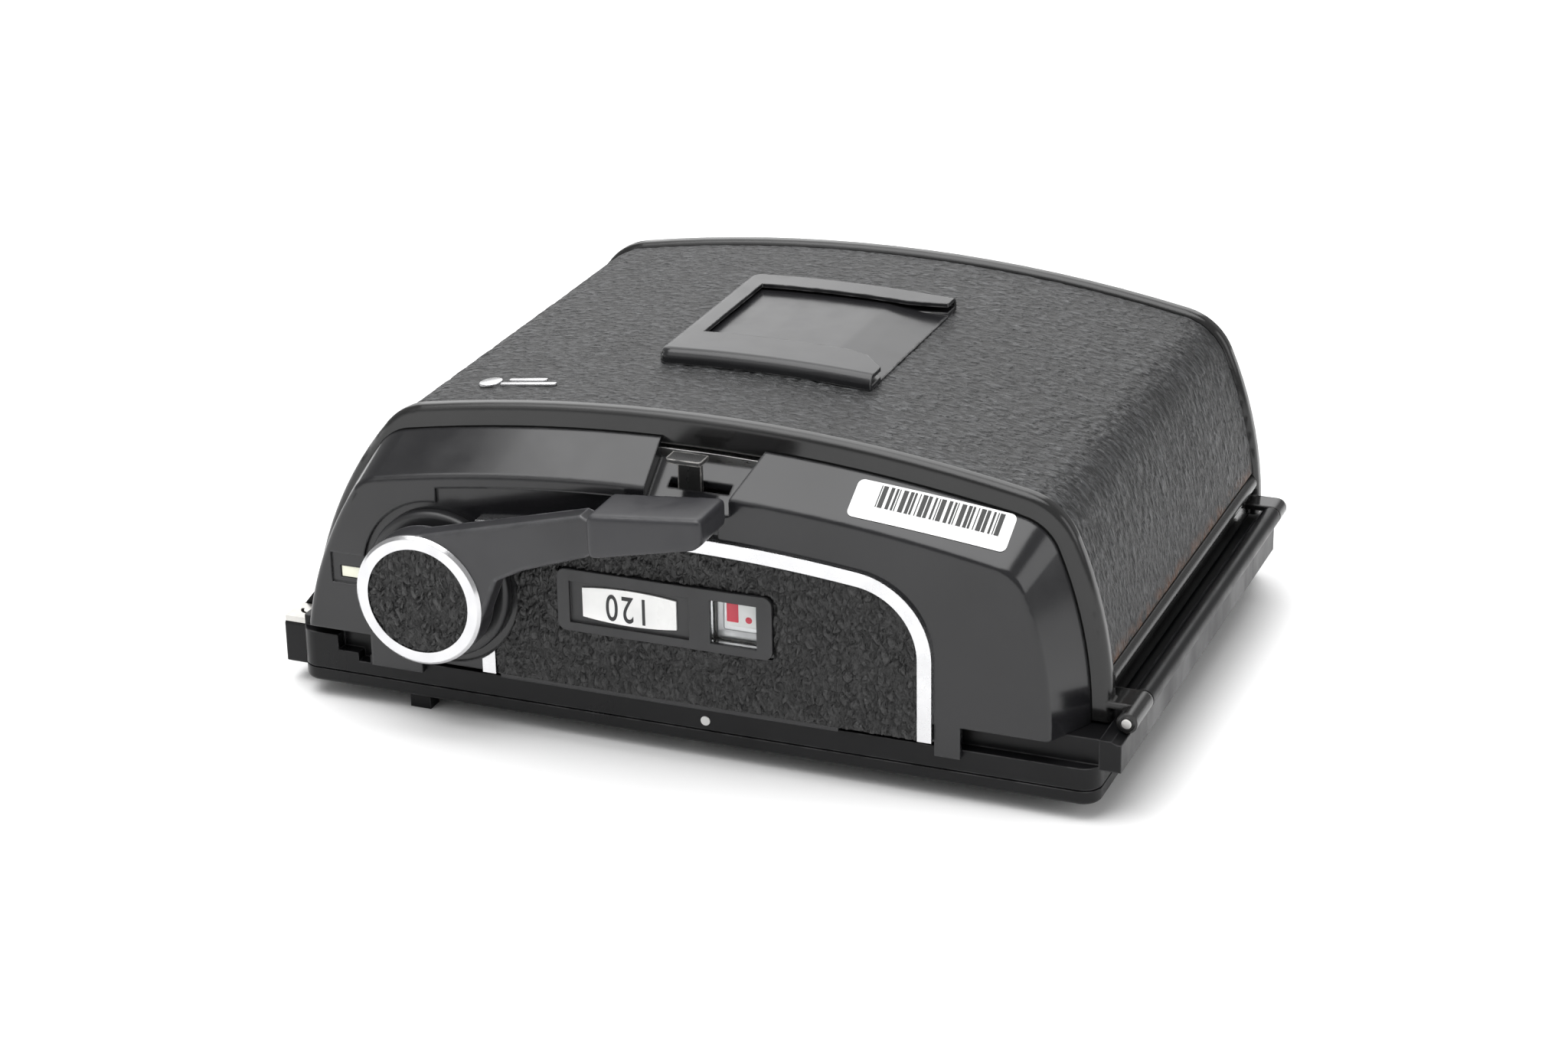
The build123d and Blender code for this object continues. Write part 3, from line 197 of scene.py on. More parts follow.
# ------------------------------------------------------------------ film gate and chamber walls
# A polished gate with two rails for the film, pressed steel walls that close the chamber, and
# the plush strip that seals the dark slide's slot.
gate_steel = brushed("gate_steel", (0.62, 0.62, 0.61), 0.2, (0.08, 1, 1))
dress(gate_steel, "gate_frame")
chamber_paint = painted("chamber_paint", (0.006, 0.006, 0.006), (0.03, 0.03, 0.03),
                        0.75, edge=0.1, wear=0.4)
dress(chamber_paint, "near_cheek_wall", "far_cheek_wall")
plush, plush_shader = start_finish("slot_plush", (0.004, 0.004, 0.004), 0.95)
plush_shader.inputs["Sheen Weight"].default_value = 0.6
soft_edges(plush, plush_shader, 0.1, spots(plush, 0.12, 5.0), strength=0.9, distance=0.15)
dress(plush, "slide_seal")

# ------------------------------------------------------------------ wind mechanism
# Steel plate and pivots, stamped steel and brass gears, and the pawl that stops them running back.
# All of it lies between the near wall and the housing, which closes over it.
dress(steel, "gear_plate", "gear_pivots", "return_pawl", "drive_gear")
brass = brushed("gear_brass", (0.62, 0.42, 0.17), 0.28, (1, 0.3, 1), worn=(0.3, 0.2, 0.09))
dress(brass, "idler_gear", "take_up_gear")
dial_white = painted("dial_white", (0.74, 0.74, 0.72), (0.6, 0.6, 0.6), 0.35, edge=0.05, wear=0.2)
dress(dial_white, "counter_dial")

# ------------------------------------------------------------------ gear housing
# One gloss moulding over the mechanism, with a ridge, a slope up to the rim, a finger notch, and a
# skirt and two tabs that hang in front of the base.
housing_gloss = painted("housing_gloss", (0.008, 0.008, 0.009), (0.05, 0.05, 0.052),
                        0.16, edge=0.45, wear=0.35, grain=0.9, bump=0.1)
dress(housing_gloss, "gear_housing")

# ------------------------------------------------------------------ inventory sticker
# A paper label with rounded corners and printed bars, stuck on the housing's slope by an owner.
# It lies a little crooked and follows the slope under it.


def surface_of(node):
    """Search tree over the faces of a CAD node."""
    return BVHTree.FromObject(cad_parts[node], bpy.context.evaluated_depsgraph_get())


def on_surface(tree, point, direction):
    """First place where a line from a point meets a surface, and the surface's normal there."""
    hit, normal, _, _ = tree.ray_cast(Vector(point), Vector(direction))
    return hit, normal


def below(tree, x, y):
    """Place on a surface that is met from straight above, and the surface's normal there."""
    overhead = 100 * MM
    return on_surface(tree, (x, y, overhead), (0, 0, -1))


def new_piece(name, mesh, finish, body, smooth=True):
    """Makes an object from a bmesh, gives it its finish and hangs it on its body."""
    bmesh.ops.recalc_face_normals(mesh, faces=mesh.faces)
    data = bpy.data.meshes.new(name)
    mesh.to_mesh(data)
    mesh.free()
    piece = bpy.data.objects.new(name, data)
    bpy.context.scene.collection.objects.link(piece)
    data.materials.append(finish)
    if smooth:
        data.shade_smooth()
        data.set_sharp_from_angle(angle=radians(40))
    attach(piece, body)
    return piece


def rounded_card(width, height, corner, steps_x=1, steps_y=1):
    """Flat card in X and Y, centred, with rounded corners."""
    card = bmesh.new()
    bmesh.ops.create_grid(card, x_segments=steps_x, y_segments=steps_y, size=0.5)
    bmesh.ops.scale(card, vec=(width, height, 1), verts=card.verts)
    corners = [v for v in card.verts if abs(v.co.x) > width * 0.499 and abs(v.co.y) > height * 0.499]
    bmesh.ops.bevel(card, geom=corners, offset=corner, segments=5, profile=0.5, affect="VERTICES",
                    material=-1)
    return card


sticker_paper, sticker_shader = start_finish("sticker_paper", (0.83, 0.83, 0.83), 0.45)
soft_edges(sticker_paper, sticker_shader, 0.05, spots(sticker_paper, 0.3, 5.0),
           strength=0.15, distance=0.01)
sticker_ink, ink_shader = start_finish("sticker_ink", (0.012, 0.012, 0.012), 0.5)
soft_edges(sticker_ink, ink_shader, 0.02, spots(sticker_ink, 0.2, 4.0), strength=0.2, distance=0.01)
sticker_x, sticker_y, sticker_turn = 33.3 * MM, -40.2 * MM, radians(3)
sticker_wide, sticker_high, sticker_corner = 20.6 * MM, 5.7 * MM, 0.9 * MM
paper_lift, ink_lift = 0.09 * MM, 0.11 * MM
bar_count, bar_high, bar_rise, bars_start = 26, 3.3 * MM, 0.85 * MM, -7.2 * MM
housing_surface = surface_of("gear_housing")
slope_hit, slope_normal = below(housing_surface, sticker_x, sticker_y)
slope_x = Vector((1, 0, -slope_normal.x / slope_normal.z)).normalized()
slope_y = slope_normal.cross(slope_x)
slope_frame = Matrix.Translation(slope_hit) @ Matrix((slope_x, slope_y, slope_normal)).transposed().to_4x4()


def stick(card, lift):
    """Lays a flat card on the housing's slope, a little crooked and a little above it."""
    bmesh.ops.rotate(card, cent=(0, 0, 0), matrix=Matrix.Rotation(sticker_turn, 3, "Z"), verts=card.verts)
    bmesh.ops.transform(card, matrix=slope_frame, verts=card.verts)
    for v in card.verts:
        hit, _ = on_surface(housing_surface, v.co + slope_normal * 20 * MM, -slope_normal)
        if hit:
            v.co = hit + slope_normal * lift


sticker = rounded_card(sticker_wide, sticker_high, sticker_corner, 24, 3)
stick(sticker, paper_lift)
new_piece("inventory_sticker", sticker, sticker_paper, "magazine_body")
bars = bmesh.new()
bar_left = bars_start
for index in range(bar_count):
    width = (0.14 + 0.16 * ((index * 7) % 4)) * MM
    made = bmesh.ops.create_grid(bars, x_segments=1, y_segments=2, size=0.5)["verts"]
    bmesh.ops.scale(bars, vec=(width, bar_high, 1), verts=made)
    bmesh.ops.translate(bars, vec=(bar_left + width / 2, bar_rise, 0), verts=made)
    bar_left += width + (0.13 + 0.12 * ((index * 5) % 3)) * MM
stick(bars, ink_lift)
new_piece("sticker_bars", bars, sticker_ink, "magazine_body", False)

# ------------------------------------------------------------------ bright trim
# A flat strip of polished aluminium that arches round the leather panel.
# It is bent to the arch and seated on the front of the housing.
trim_metal = brushed("trim_metal", (0.70, 0.70, 0.71), 0.24, (0.3, 1, 0.3), worn=(0.56, 0.56, 0.57))
dress(trim_metal, "chrome_trim")


# ------------------------------------------------------------------ leather panel of the front
# Coarse grained leather with upright pebbles, cut round the hub and the window frame and glued down.
# The hub's disc is cut from the same leather and glued inside the bright ring.
front_cell_wide, front_cell_high, front_relief = 0.95 * MM, 1.5 * MM, 0.42 * MM


def pebble(u, v, seed):
    """Height of a leather grain from 0 in its creases to 1 on its pebbles; u and v are in cells."""
    warp = noise.noise(Vector((u * 0.7, v * 0.7, seed + 4.5))) * 0.6
    near, far = noise.voronoi(Vector((u + warp, v - warp, seed)))[0][:2]
    rise = min(1.0, max(0.0, (far - near) / 0.42))
    return rise * rise * (3 - 2 * rise) * (0.8 + 0.35 * noise.noise(Vector((u * 0.5, v * 0.5, seed))))


def final_mesh(piece):
    """Mesh of an object with its modifiers applied."""
    return bpy.data.meshes.new_from_object(piece.evaluated_get(bpy.context.evaluated_depsgraph_get()))


def even_copy(node, name, voxel, finish):
    """Copy of a CAD node with an even mesh that can be shaped, in its own finish."""
    solid = bmesh.new()
    solid.from_mesh(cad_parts[node].data)
    bmesh.ops.remove_doubles(solid, verts=solid.verts, dist=1e-6)
    data = bpy.data.meshes.new(name)
    solid.to_mesh(data)
    solid.free()
    piece = bpy.data.objects.new(name, data)
    bpy.context.scene.collection.objects.link(piece)
    remesh = piece.modifiers.new("even", "REMESH")
    remesh.mode = "VOXEL"
    remesh.voxel_size = voxel * 1
    even = final_mesh(piece)
    piece.modifiers.clear()
    piece.data = even
    even.shade_smooth()
    even.materials.clear()
    even.materials.append(finish)
    return piece


def grained_front(node, name, voxel, finish, seed):
    """Leather piece with its CAD node's outline and a real relief on its front."""
    piece = even_copy(node, name, voxel, finish)
    even = piece.data
    crease = even.attributes.new("crease", "FLOAT", "POINT")
    for vertex, mark in zip(even.vertices, crease.data):
        height = pebble(vertex.co.x / front_cell_wide, vertex.co.z / front_cell_high, seed)
        mark.value = height
        if vertex.normal.y < -0.6:
            vertex.co.y -= (height - 0.45) * front_relief
    return piece


def rust_stain(finish, tone, foot):
    """Rust brown along a leather's foot at the hinge end, fading out 2.6 mm above it."""
    apart = put(finish, "ShaderNodeSeparateXYZ", Vector=put(finish, "ShaderNodeTexCoord").outputs["Object"])
    low = span(finish, apart.outputs["Z"], foot, foot + 2.6 * MM, 1.0, 0.0)
    side = span(finish, apart.outputs["X"], 0.0, 10 * MM, 0.0, 1.0)
    rust = times(finish, low, side)
    patchy = span(finish, spots(finish, 2.5, 6.0), 0.42, 0.62, 0.0, 0.85)
    return blend_colour(finish, times(finish, rust, patchy), tone, (0.16, 0.065, 0.025))


def leather(name, colour, roughness, cells, unrolled=False, stain_foot=None):
    """Dyed leather with painted shade in its creases, painted highlights on its pebbles broken up like
    rubbing, and a wavy fine grain.
    """
    finish, shader = start_finish(name, colour, roughness)
    link = finish.node_tree.links.new
    kind, output = ("ShaderNodeUVMap", "UV") if unrolled else ("ShaderNodeTexCoord", "Object")
    mapped = put(finish, "ShaderNodeMapping", Vector=put(finish, kind).outputs[output],
                 Scale=tuple(1 / (c * MM) for c in cells)).outputs["Vector"]
    fine = put(finish, "ShaderNodeTexNoise", Vector=mapped, Scale=1.0, Detail=2.5,
               Distortion=0.7).outputs["Fac"]
    fine = span(finish, fine, 0.36, 0.62, 0.0, 1.0)
    relief = put(finish, "ShaderNodeAttribute", {"attribute_name": "crease"}).outputs["Fac"]
    height = put(finish, "ShaderNodeMath", {"operation": "MULTIPLY_ADD"}, a=relief, b=0.45,
                 c=times(finish, fine, 0.55)).outputs[0]
    # Painted shade darkens the creases to about a tenth of the colour. A painted highlight lightens the
    # pebble tops in patches that also stand for rubbing.
    lit_pebbles_and_rub = times(finish, span(finish, height, 0.2, 0.9, 0.0, 1.0),
                span(finish, spots(finish, 9, 5.0), 0.3, 0.7, 0.55, 1.0))
    dark = tuple(c * 0.12 for c in colour)
    tone = blend_colour(finish, lit_pebbles_and_rub, dark, tuple(c * 1.6 for c in colour))
    if stain_foot is not None:
        tone = rust_stain(finish, tone, stain_foot)
    link(tone, shader.inputs["Base Color"])
    link(span(finish, height, 0.0, 1.0, roughness * 1.3, roughness), shader.inputs["Roughness"])
    wrinkle = put(finish, "ShaderNodeBump", Strength=1.0, Distance=0.3 * MM,
                  Height=height).outputs["Normal"]
    link(wrinkle, shader.inputs["Normal"])
    return finish


front_leather = leather("front_leather", (0.020, 0.020, 0.020), 0.36, (0.62, 1.0, 1.05))
panel = grained_front("panel_leather", "front_leather_panel", 0.23 * MM, front_leather, seed=2.0)
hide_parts("panel_leather")
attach(panel, "magazine_body")

# ------------------------------------------------------------------ window frame and its windows
# A satin moulding with a stepped recess for the film type plate and a hole for the frame counter.
# The film size is printed on the white plate.
bezel_satin = painted("bezel_satin", (0.016, 0.016, 0.017), (0.05, 0.05, 0.05),
                      0.4, edge=0.22, wear=0.4)
dress(bezel_satin, "window_bezel")
plate_white = painted("plate_white", (0.8, 0.8, 0.79), (0.7, 0.7, 0.7), 0.3, edge=0.05, wear=0.2)
dress(plate_white, "film_type_label")
digit_ink, digit_shader = start_finish("digit_ink", (0.02, 0.02, 0.022), 0.5)
soft_edges(digit_ink, digit_shader, 0.02, spots(digit_ink, 0.2, 3.0), strength=0.2, distance=0.01)
label_low, label_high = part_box("film_type_label")
label_middle = (label_low + label_high) / 2
digits = bpy.data.curves.new("film_size", "FONT")
digits.body = "120"
digits.size = 5.2 * MM
digits.space_character = 1.22
digits.align_x = "CENTER"
digits.align_y = "CENTER"
digits.extrude = 0.02 * MM
digits.offset = 0.03 * MM
digit_narrowing, digits_aside, ink_proud = 0.7, 0.2 * MM, 0.015 * MM
lettering = bpy.data.objects.new("film_size", digits)
bpy.context.scene.collection.objects.link(lettering)
flat_digits = final_mesh(lettering)
bpy.data.objects.remove(lettering)
shape = bmesh.new()
shape.from_mesh(flat_digits)
bmesh.ops.scale(shape, vec=(digit_narrowing, 1, 1), verts=shape.verts)
bmesh.ops.rotate(shape, cent=(0, 0, 0), matrix=Matrix.Rotation(pi, 3, "Z"), verts=shape.verts)
bmesh.ops.rotate(shape, cent=(0, 0, 0), matrix=Matrix.Rotation(pi / 2, 3, "X"), verts=shape.verts)
label_place = (label_middle.x - digits_aside, label_low.y - ink_proud, label_middle.z)
bmesh.ops.translate(shape, vec=label_place, verts=shape.verts)
bmesh.ops.remove_doubles(shape, verts=shape.verts, dist=1e-6)
new_piece("film_size_digits", shape, digit_ink, "magazine_body", False)

# The counter shows a stepped silver plate with a red bar and a red start mark behind a clear pane.
pane, pane_shader = start_finish("clear_pane", (0.96, 0.97, 0.97), 0.03)
pane_shader.inputs["Transmission Weight"].default_value = 1.0
pane_shader.inputs["IOR"].default_value = 1.2
soft_edges(pane, pane_shader, 0.1, spots(pane, 4, 2.0), strength=0.03, distance=0.01)
dress(pane, "counter_window")
window_low, window_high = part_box("counter_window")
window_middle = (window_low + window_high) / 2
dial_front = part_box("counter_dial")[0].y
silver = brushed("counter_silver", (0.74, 0.74, 0.75), 0.36, (1, 1, 0.2), worn=(0.55, 0.55, 0.56))
counter_red = painted("counter_red", (0.62, 0.03, 0.06), (0.5, 0.1, 0.1), 0.35, edge=0.05, wear=0.2)


def pull(flat, offset):
    """Gives a flat mesh its thickness by extruding its faces along an offset."""
    moved = bmesh.ops.extrude_face_region(flat, geom=flat.faces[:])["geom"]
    bmesh.ops.translate(flat, vec=offset, verts=[g for g in moved if isinstance(g, bmesh.types.BMVert)])


def raised_card(width, height, corner, thick, edge, segments):
    """Thick card with rounded corners and a soft upper edge."""
    card = rounded_card(width, height, corner)
    pull(card, (0, 0, thick))
    rim = [e for e in card.edges if all(v.co.z > thick * 0.9 for v in e.verts)]
    bmesh.ops.bevel(card, geom=rim, offset=edge, segments=segments, profile=0.5, affect="EDGES",
                    material=-1)
    return card


def counter_card(name, size, corner, place, front, thick, finish):
    """Small upright card in the counter; its size and place are in millimetres from the pane's middle."""
    thick = thick * MM
    width, height = (length * MM for length in size)
    x, z = (length * MM for length in place)
    card = raised_card(width, height, corner * MM, thick, min(0.3 * MM, thick * 0.6), 3)
    bmesh.ops.rotate(card, cent=(0, 0, 0), matrix=Matrix.Rotation(pi / 2, 3, "X"), verts=card.verts)
    spot = (window_middle.x + x, dial_front - front * MM + thick, window_middle.z + z)
    bmesh.ops.translate(card, vec=spot, verts=card.verts)
    return new_piece(name, card, finish, "magazine_body")


counter_card("counter_frame", (6.2, 5.8), 0.5, (0, 0), 0.62, 0.5, silver)
counter_card("counter_step", (4.9, 4.2), 0.4, (0.5, 0.6), 0.92, 0.3, silver)
counter_card("counter_card_white", (4.3, 3.3), 0.3, (0.75, 0.85), 1.0, 0.1, plate_white)
counter_card("counter_red_bar", (1.6, 2.6), 0.1, (-0.6, 1.1), 1.06, 0.08, counter_red)
counter_card("counter_start_mark", (0.9, 0.9), 0.44, (1.6, 0.3), 1.06, 0.08, counter_red)

# ------------------------------------------------------------------ wind lever
# A cast arm on a dark boss, a rubbed plastic finger grip at its end, and a hub closed by a bevelled
# bright ring round a leather disc.
boss_satin = painted("boss_satin", (0.012, 0.012, 0.013), (0.05, 0.05, 0.05), 0.3, edge=0.3, wear=0.5)
dress(boss_satin, "lever_boss")
arm_satin = painted("arm_satin", (0.020, 0.020, 0.022), (0.26, 0.26, 0.27),
                    0.34, edge=0.6, wear=0.9, grain=0.3, bump=0.25)
dress(arm_satin, "lever_arm")
grip_rubbed, grip_shader = start_finish("grip_rubbed", (0.022, 0.022, 0.025), 0.36)
rubbed = put(grip_rubbed, "ShaderNodeAttribute", {"attribute_name": "rubbed"}).outputs["Fac"]
scuffs = span(grip_rubbed, spots(grip_rubbed, 1.6, 7.0), 0.36, 0.6, 0.1, 1.0)
bare = times(grip_rubbed, rubbed, scuffs)
grip_tone = blend_colour(grip_rubbed, bare, (0.022, 0.022, 0.025), (0.34, 0.34, 0.35))
grip_gloss = span(grip_rubbed, spots(grip_rubbed, 4, 5.0), 0.3, 0.7, 0.28, 0.45)
grip_rubbed.node_tree.links.new(grip_tone, grip_shader.inputs["Base Color"])
grip_rubbed.node_tree.links.new(grip_gloss, grip_shader.inputs["Roughness"])
soft_edges(grip_rubbed, grip_shader, 0.2, spots(grip_rubbed, 0.3, 5.0), strength=0.3, distance=0.012)
rounding_passes, grip_wear_depth = (9), 0.3 * MM
grip = even_copy("lever_grip", "rounded_grip", 0.22 * MM, grip_rubbed)
before = [v.co.copy() for v in grip.data.vertices]
rounder = bmesh.new()
rounder.from_mesh(grip.data)
for _ in range(rounding_passes):
    bmesh.ops.smooth_vert(rounder, verts=rounder.verts, factor=0.5,
                          use_axis_x=True, use_axis_y=True, use_axis_z=True)
rounder.to_mesh(grip.data)
rounder.free()
taken = grip.data.attributes.new("rubbed", "FLOAT", "POINT")
for vertex, old, mark in zip(grip.data.vertices, before, taken.data):
    mark.value = min(1.0, max(0.0, (vertex.co - old).length / grip_wear_depth - 0.35) * 1.8)
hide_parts("lever_grip")
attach(grip, "wind_lever")
ring_bright = brushed("ring_bright", (0.66, 0.66, 0.67), 0.2, (0.5, 1, 0.5), worn=(0.52, 0.52, 0.54))
dress(ring_bright, "hub_ring")
disc = grained_front("hub_disc", "hub_leather_disc", 0.17 * MM, front_leather, seed=7.0)
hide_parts("hub_disc")
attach(disc, "wind_lever")

# ------------------------------------------------------------------ release tab and wind signal
# A bent steel tab, blacked and worn bare at its lip, and the pale bar behind the slot by the hub.
# The tab is pushed along in the finger notch to free the lever.
tab_steel = painted("tab_steel", (0.02, 0.02, 0.02), (0.62, 0.60, 0.57), 0.3, edge=0.3, wear=1.0)
dress(tab_steel, "release_tab")
signal_cream = painted("signal_cream", (0.72, 0.72, 0.6), (0.5, 0.5, 0.42), 0.45, edge=0.06, wear=0.3)
dress(signal_cream, "signal_bar")

# ------------------------------------------------------------------ film insert
# Aluminium cheeks and bridge with rollers, a sprung pressure plate and two plastic film spools.
# The spools turn on steel studs, and leaf springs press the plate towards the gate.
aluminium = brushed("insert_aluminium", (0.72, 0.72, 0.73), 0.32, (0.12, 1, 1))
dress(aluminium, "insert_cheek_near", "insert_cheek_far", "insert_bridge")
dress(aluminium, "roller_latch_end", "roller_hinge_end")
dress(steel, "plate_springs", "roller_axles", "spool_studs")
pressure_black = painted("pressure_black", (0.012, 0.012, 0.012), (0.1, 0.1, 0.1),
                         0.3, edge=0.15, wear=0.5)
dress(pressure_black, "pressure_plate")
spool_black = painted("spool_black", (0.014, 0.014, 0.014), (0.05, 0.05, 0.05),
                      0.42, edge=0.3, wear=0.5)
dress(spool_black, "take_up_spool", "supply_spool")

# ------------------------------------------------------------------ back cover
# A pressed steel back with raised rims, enamelled gloss black, worn where a hand holds its corners.
# Its steel catch is held by the slider of the cover latch.
cover_enamel = painted("cover_enamel", (0.008, 0.008, 0.008), (0.05, 0.048, 0.046),
                       0.13, edge=0.5, wear=0.55, grain=1.2, bump=0.12)
dress(cover_enamel, "cover_shell")
dress(steel, "cover_catch")

# ------------------------------------------------------------------ leather of the back
# Fine pebbled leather glued over the arch between the rims; damp has stained its lower edge at the
# hinge end.
leather_low, leather_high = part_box("cover_leather")
leather_foot = leather_low.z
leather_surface = surface_of("cover_leather")
core = Vector((0, 0, leather_foot))
half_turn_steps = 720
outline = []
for index in range(half_turn_steps + 1):
    angle = pi * index / half_turn_steps
    outward = Vector((-cos(angle), 0, sin(angle)))
    hit, _ = on_surface(leather_surface, core + outward * 90 * MM, -outward)
    if hit and hit.z > leather_foot + 0.01 * MM:
        outline.append(hit)
run = [0.0]
for near, far in zip(outline, outline[1:]):
    run.append(run[-1] + (far - near).length)
arch_length = run[-1]


def along_arch(distance):
    """Point and outward normal of the arch at a distance from its latch end foot."""
    step = min(len(run) - 2, max(0, next((i for i, r in enumerate(run) if r > distance), len(run) - 1) - 1))
    share = (distance - run[step]) / (run[step + 1] - run[step])
    tangent = (outline[step + 1] - outline[step]).normalized()
    return outline[step].lerp(outline[step + 1], share), Vector((-tangent.z, 0, tangent.x))


grain_step = 0.34 * MM
grain_long, grain_wide, grain_relief = 2.1 * MM, 1.0 * MM, 0.13 * MM
edge_roll, edge_drop, leather_skirt = 0.7 * MM, 0.3 * MM, 0.4 * MM
across = leather_high.y - leather_low.y
count_s = int(arch_length / grain_step)
count_y = int(across / grain_step)
sheet = bmesh.new()
bmesh.ops.create_grid(sheet, x_segments=count_s, y_segments=count_y, size=0.5)
crease_layer = sheet.verts.layers.float.new("crease")
unrolled = sheet.loops.layers.uv.new("unrolled")
for face in sheet.faces:
    for loop in face.loops:
        loop[unrolled].uv = ((loop.vert.co.x + 0.5) * arch_length, (loop.vert.co.y + 0.5) * across)
profile = [along_arch(arch_length * i / count_s) for i in range(count_s + 1)]
for v in sheet.verts:
    index = round((v.co.x + 0.5) * count_s)
    y = leather_low.y + (v.co.y + 0.5) * across
    point, outward = profile[index]
    s = arch_length * index / count_s
    height = pebble(s / grain_long, y / grain_wide, 11.0)
    inner = min(s, arch_length - s, y - leather_low.y, leather_high.y - y)
    rolled = min(1.0, inner / edge_roll)
    v[crease_layer] = height
    lift = (height - 0.8) * grain_relief * rolled - (1 - rolled) ** 2 * edge_drop
    v.co = Vector((point.x, y, point.z)) + outward * lift
edge = [e for e in sheet.edges if e.is_boundary]
skirt = bmesh.ops.extrude_edge_only(sheet, edges=edge)["geom"]
for v in [g for g in skirt if isinstance(g, bmesh.types.BMVert)]:
    v.co += (core - Vector((v.co.x, 0, v.co.z))).normalized() * leather_skirt
back_leather = leather("back_leather", (0.034, 0.035, 0.037), 0.4, (1.25, 0.42, 1.0), True, leather_foot)
back = new_piece("back_leather_sheet", sheet, back_leather, "back_cover")
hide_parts("cover_leather")

# ------------------------------------------------------------------ rolled foot of the back
# The cover's sheet steel is rolled over below the leather at the hinge end, and enamelled with it.
# The roll stiffens the edge and ends the leather neatly.
bead_radius, bead_inset, bead_drop = 1.25 * MM, 0.75 * MM, 1.2 * MM
bead = bmesh.new()
bmesh.ops.create_circle(bead, cap_ends=True, segments=28, radius=bead_radius)
bmesh.ops.rotate(bead, cent=(0, 0, 0), matrix=Matrix.Rotation(pi / 2, 3, "X"), verts=bead.verts)
bead_start = (leather_high.x - bead_inset, leather_low.y, leather_foot - bead_drop)
bmesh.ops.translate(bead, vec=bead_start, verts=bead.verts)
pull(bead, (0, across, 0))
new_piece("rolled_foot", bead, cover_enamel, "back_cover")

# ------------------------------------------------------------------ badge
# A plain bright mark riveted through the leather: a disc with two bars side by side behind it.
# It is stamped from thin plate with rounded edges, and follows the arch.
badge_metal = brushed("badge_metal", (0.60, 0.60, 0.61), 0.26, (0.3, 1, 1))
badge_x, badge_y, badge_thick, badge_sink = -28.8 * MM, -27.2 * MM, 0.35 * MM, 0.05 * MM
badge = bmesh.new()
badge_parts = ((-4.4, 0.0, 3.2, 3.2, 1.59), (0.8, 0.75, 5.6, 0.9, 0.4), (1.5, -0.75, 8.2, 0.9, 0.4))
for x, y, width, height, corner in badge_parts:
    piece = raised_card(width * MM, height * MM, corner * MM, badge_thick, 0.12 * MM, 2)
    bmesh.ops.translate(piece, vec=(badge_x + x * MM, badge_y + y * MM, 0), verts=piece.verts)
    made = bpy.data.meshes.new("part")
    piece.to_mesh(made)
    piece.free()
    badge.from_mesh(made)
for v in badge.verts:
    v.co.z += below(leather_surface, v.co.x, v.co.y)[0].z - badge_sink
new_piece("back_badge", badge, badge_metal, "back_cover")

# ------------------------------------------------------------------ memo holder
# A tray folded from thin sheet, enamelled black, that takes the torn end of a film box, and the
# springy plate inside it.
memo_enamel = painted("memo_enamel", (0.010, 0.010, 0.011), (0.22, 0.22, 0.22),
                      0.2, edge=0.3, wear=0.9, grain=1.2, bump=0.03)
dress(memo_enamel, "memo_holder")
plate_low, plate_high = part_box("memo_plate")
holder_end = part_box("memo_holder")[1].x
tongue_end = holder_end - 0.1 * MM
tongue_rise, tongue_thick, tongue_fall = 1.05 * MM, 0.04 * MM, 0.102
bend_x = holder_end - 8 * MM
tongue = bmesh.new()
bmesh.ops.create_grid(tongue, x_segments=72, y_segments=2, size=0.5)
for v in tongue.verts:
    x = plate_low.x + (v.co.x + 0.5) * (tongue_end - plate_low.x)
    y = plate_low.y + (v.co.y + 0.5) * (plate_high.y - plate_low.y)
    rise = tongue_rise - max(0.0, x - bend_x) * tongue_fall
    v.co = (x, y, below(leather_surface, x, y)[0].z + rise)
pull(tongue, (0, 0, -tongue_thick))
tongue = new_piece("memo_tongue", tongue, memo_enamel, "back_cover")
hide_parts("memo_plate")

# ------------------------------------------------------------------ cover latch
# A block on the latch end with a bright top plate, and the bevelled slider behind it.
# Pushing the slider along frees the catch of the back cover.
dress(base_paint, "latch_block", "cover_latch")
latch_metal = brushed("latch_metal", (0.62, 0.61, 0.58), 0.34, (1, 0.2, 1))
dress(latch_metal, "latch_plate")

# ------------------------------------------------------------------ dark slide
# A thin steel sheet blacked on both faces, and its moulded handle.
# It slides through the plush sealed slot and covers the film gate.
slide_black = painted("slide_black", (0.02, 0.02, 0.021), (0.4, 0.4, 0.4), 0.3, edge=0.1, wear=0.8)
dress(slide_black, "dark_slide")
handle_satin = painted("handle_satin", (0.02, 0.02, 0.021), (0.12, 0.12, 0.12),
                       0.45, edge=0.4, wear=0.7)
dress(handle_satin, "slide_handle")

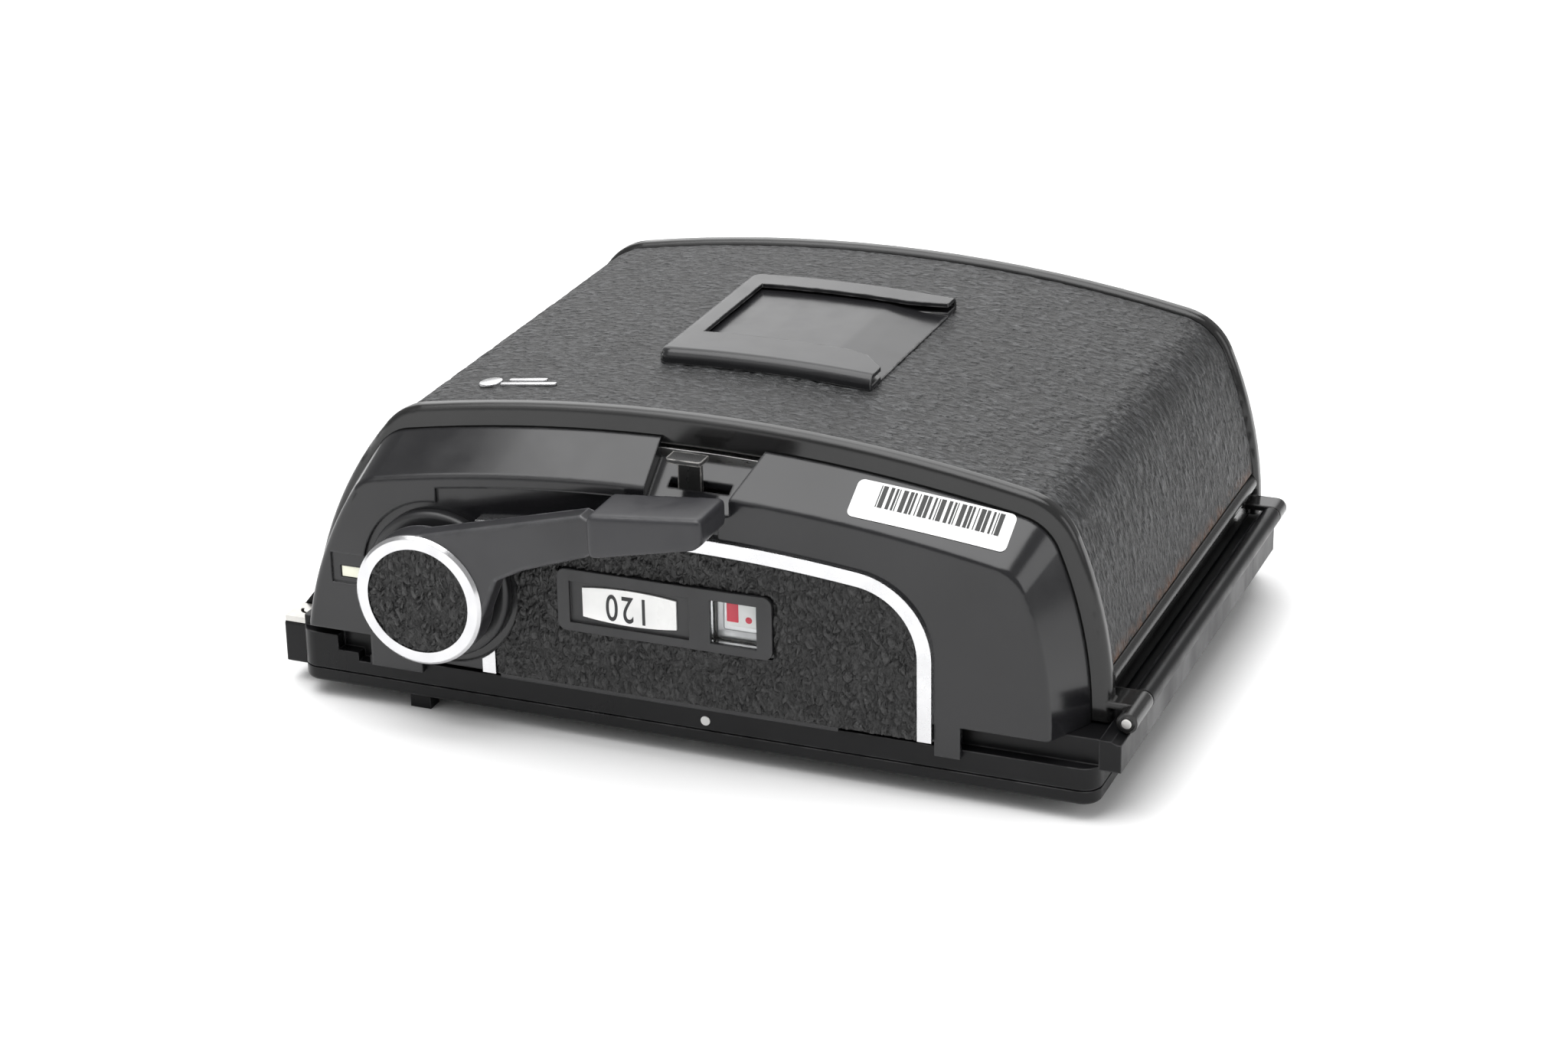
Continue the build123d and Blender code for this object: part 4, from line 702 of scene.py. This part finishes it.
# ------------------------------------------------------------------ floor
# A plain pale sheet under the object.
# It is matt paper, wide enough to fill the view.
rest_z = cad_box[0][2]
floor_half_width = 4.0
paper_sheet = bmesh.new()
bmesh.ops.create_grid(paper_sheet, x_segments=1, y_segments=1, size=floor_half_width)
bmesh.ops.translate(paper_sheet, vec=(0, 0, rest_z), verts=paper_sheet.verts)
floor_data = bpy.data.meshes.new("floor")
paper_sheet.to_mesh(floor_data)
paper_sheet.free()
floor = bpy.data.objects.new("floor", floor_data)
bpy.context.scene.collection.objects.link(floor)
floor_paper, floor_shader = start_finish("floor_paper", (0.93, 0.93, 0.93), 0.9)
floor_shader.inputs["Specular IOR Level"].default_value = 0.1
floor_data.materials.append(floor_paper)

# ------------------------------------------------------------------ light
# An even white surround and large soft panels above and beside the object.
# The standard view transform keeps the paper white and the paint black.
world = bpy.data.worlds.new("studio")
bpy.context.scene.world = world
world.use_nodes = True
world.node_tree.nodes["Background"].inputs["Color"].default_value = (1, 1, 1, 1)
world.node_tree.nodes["Background"].inputs["Strength"].default_value = 0.42
bpy.context.scene.view_settings.view_transform = "Standard"


def soft_panel(name, place, size, power):
    """Large square light that faces the object."""
    aim = (0, 0, 20 * MM)
    lamp = bpy.data.lights.new(name, "AREA")
    lamp.size = size
    lamp.energy = power
    panel = bpy.data.objects.new(name, lamp)
    panel.location = place
    panel.rotation_euler = (Vector(aim) - Vector(place)).to_track_quat("-Z", "Y").to_euler()
    bpy.context.scene.collection.objects.link(panel)


soft_panel("back_panel", (-0.45, 1.15, 0.85), 1.5, 10)
soft_panel("top_panel", (-0.1, -0.15, 1.0), 1.1, 14)
soft_panel("front_panel", (-0.7, -1.0, 0.75), 0.7, 1.8)
soft_panel("side_panel", (1.1, -0.1, 0.5), 0.7, 3)

# ------------------------------------------------------------------ camera
# Three-quarter view over the lever side, with a long lens.
# The camera is turned by about a degree on its own axis.
azimuth, elevation, roll = radians(22.16), radians(22.75), radians(-0.99)
backward = Vector((sin(azimuth) * cos(elevation), -cos(azimuth) * cos(elevation), sin(elevation)))
level = Vector((cos(azimuth), sin(azimuth), 0))
upward = backward.cross(level)
right = cos(roll) * level + sin(roll) * upward
top = -sin(roll) * level + cos(roll) * upward
camera_place = (0.1661, -0.4145, 0.2010)
camera = bpy.data.objects.new("camera", bpy.data.cameras.new("camera"))
camera.data.lens = 80.16
camera.data.sensor_width = 36
camera.data.clip_start = 0.01
camera_axes = Matrix((right, top, backward)).transposed().to_4x4()
camera.matrix_world = Matrix.Translation(camera_place) @ camera_axes
bpy.context.scene.collection.objects.link(camera)
bpy.context.scene.camera = camera
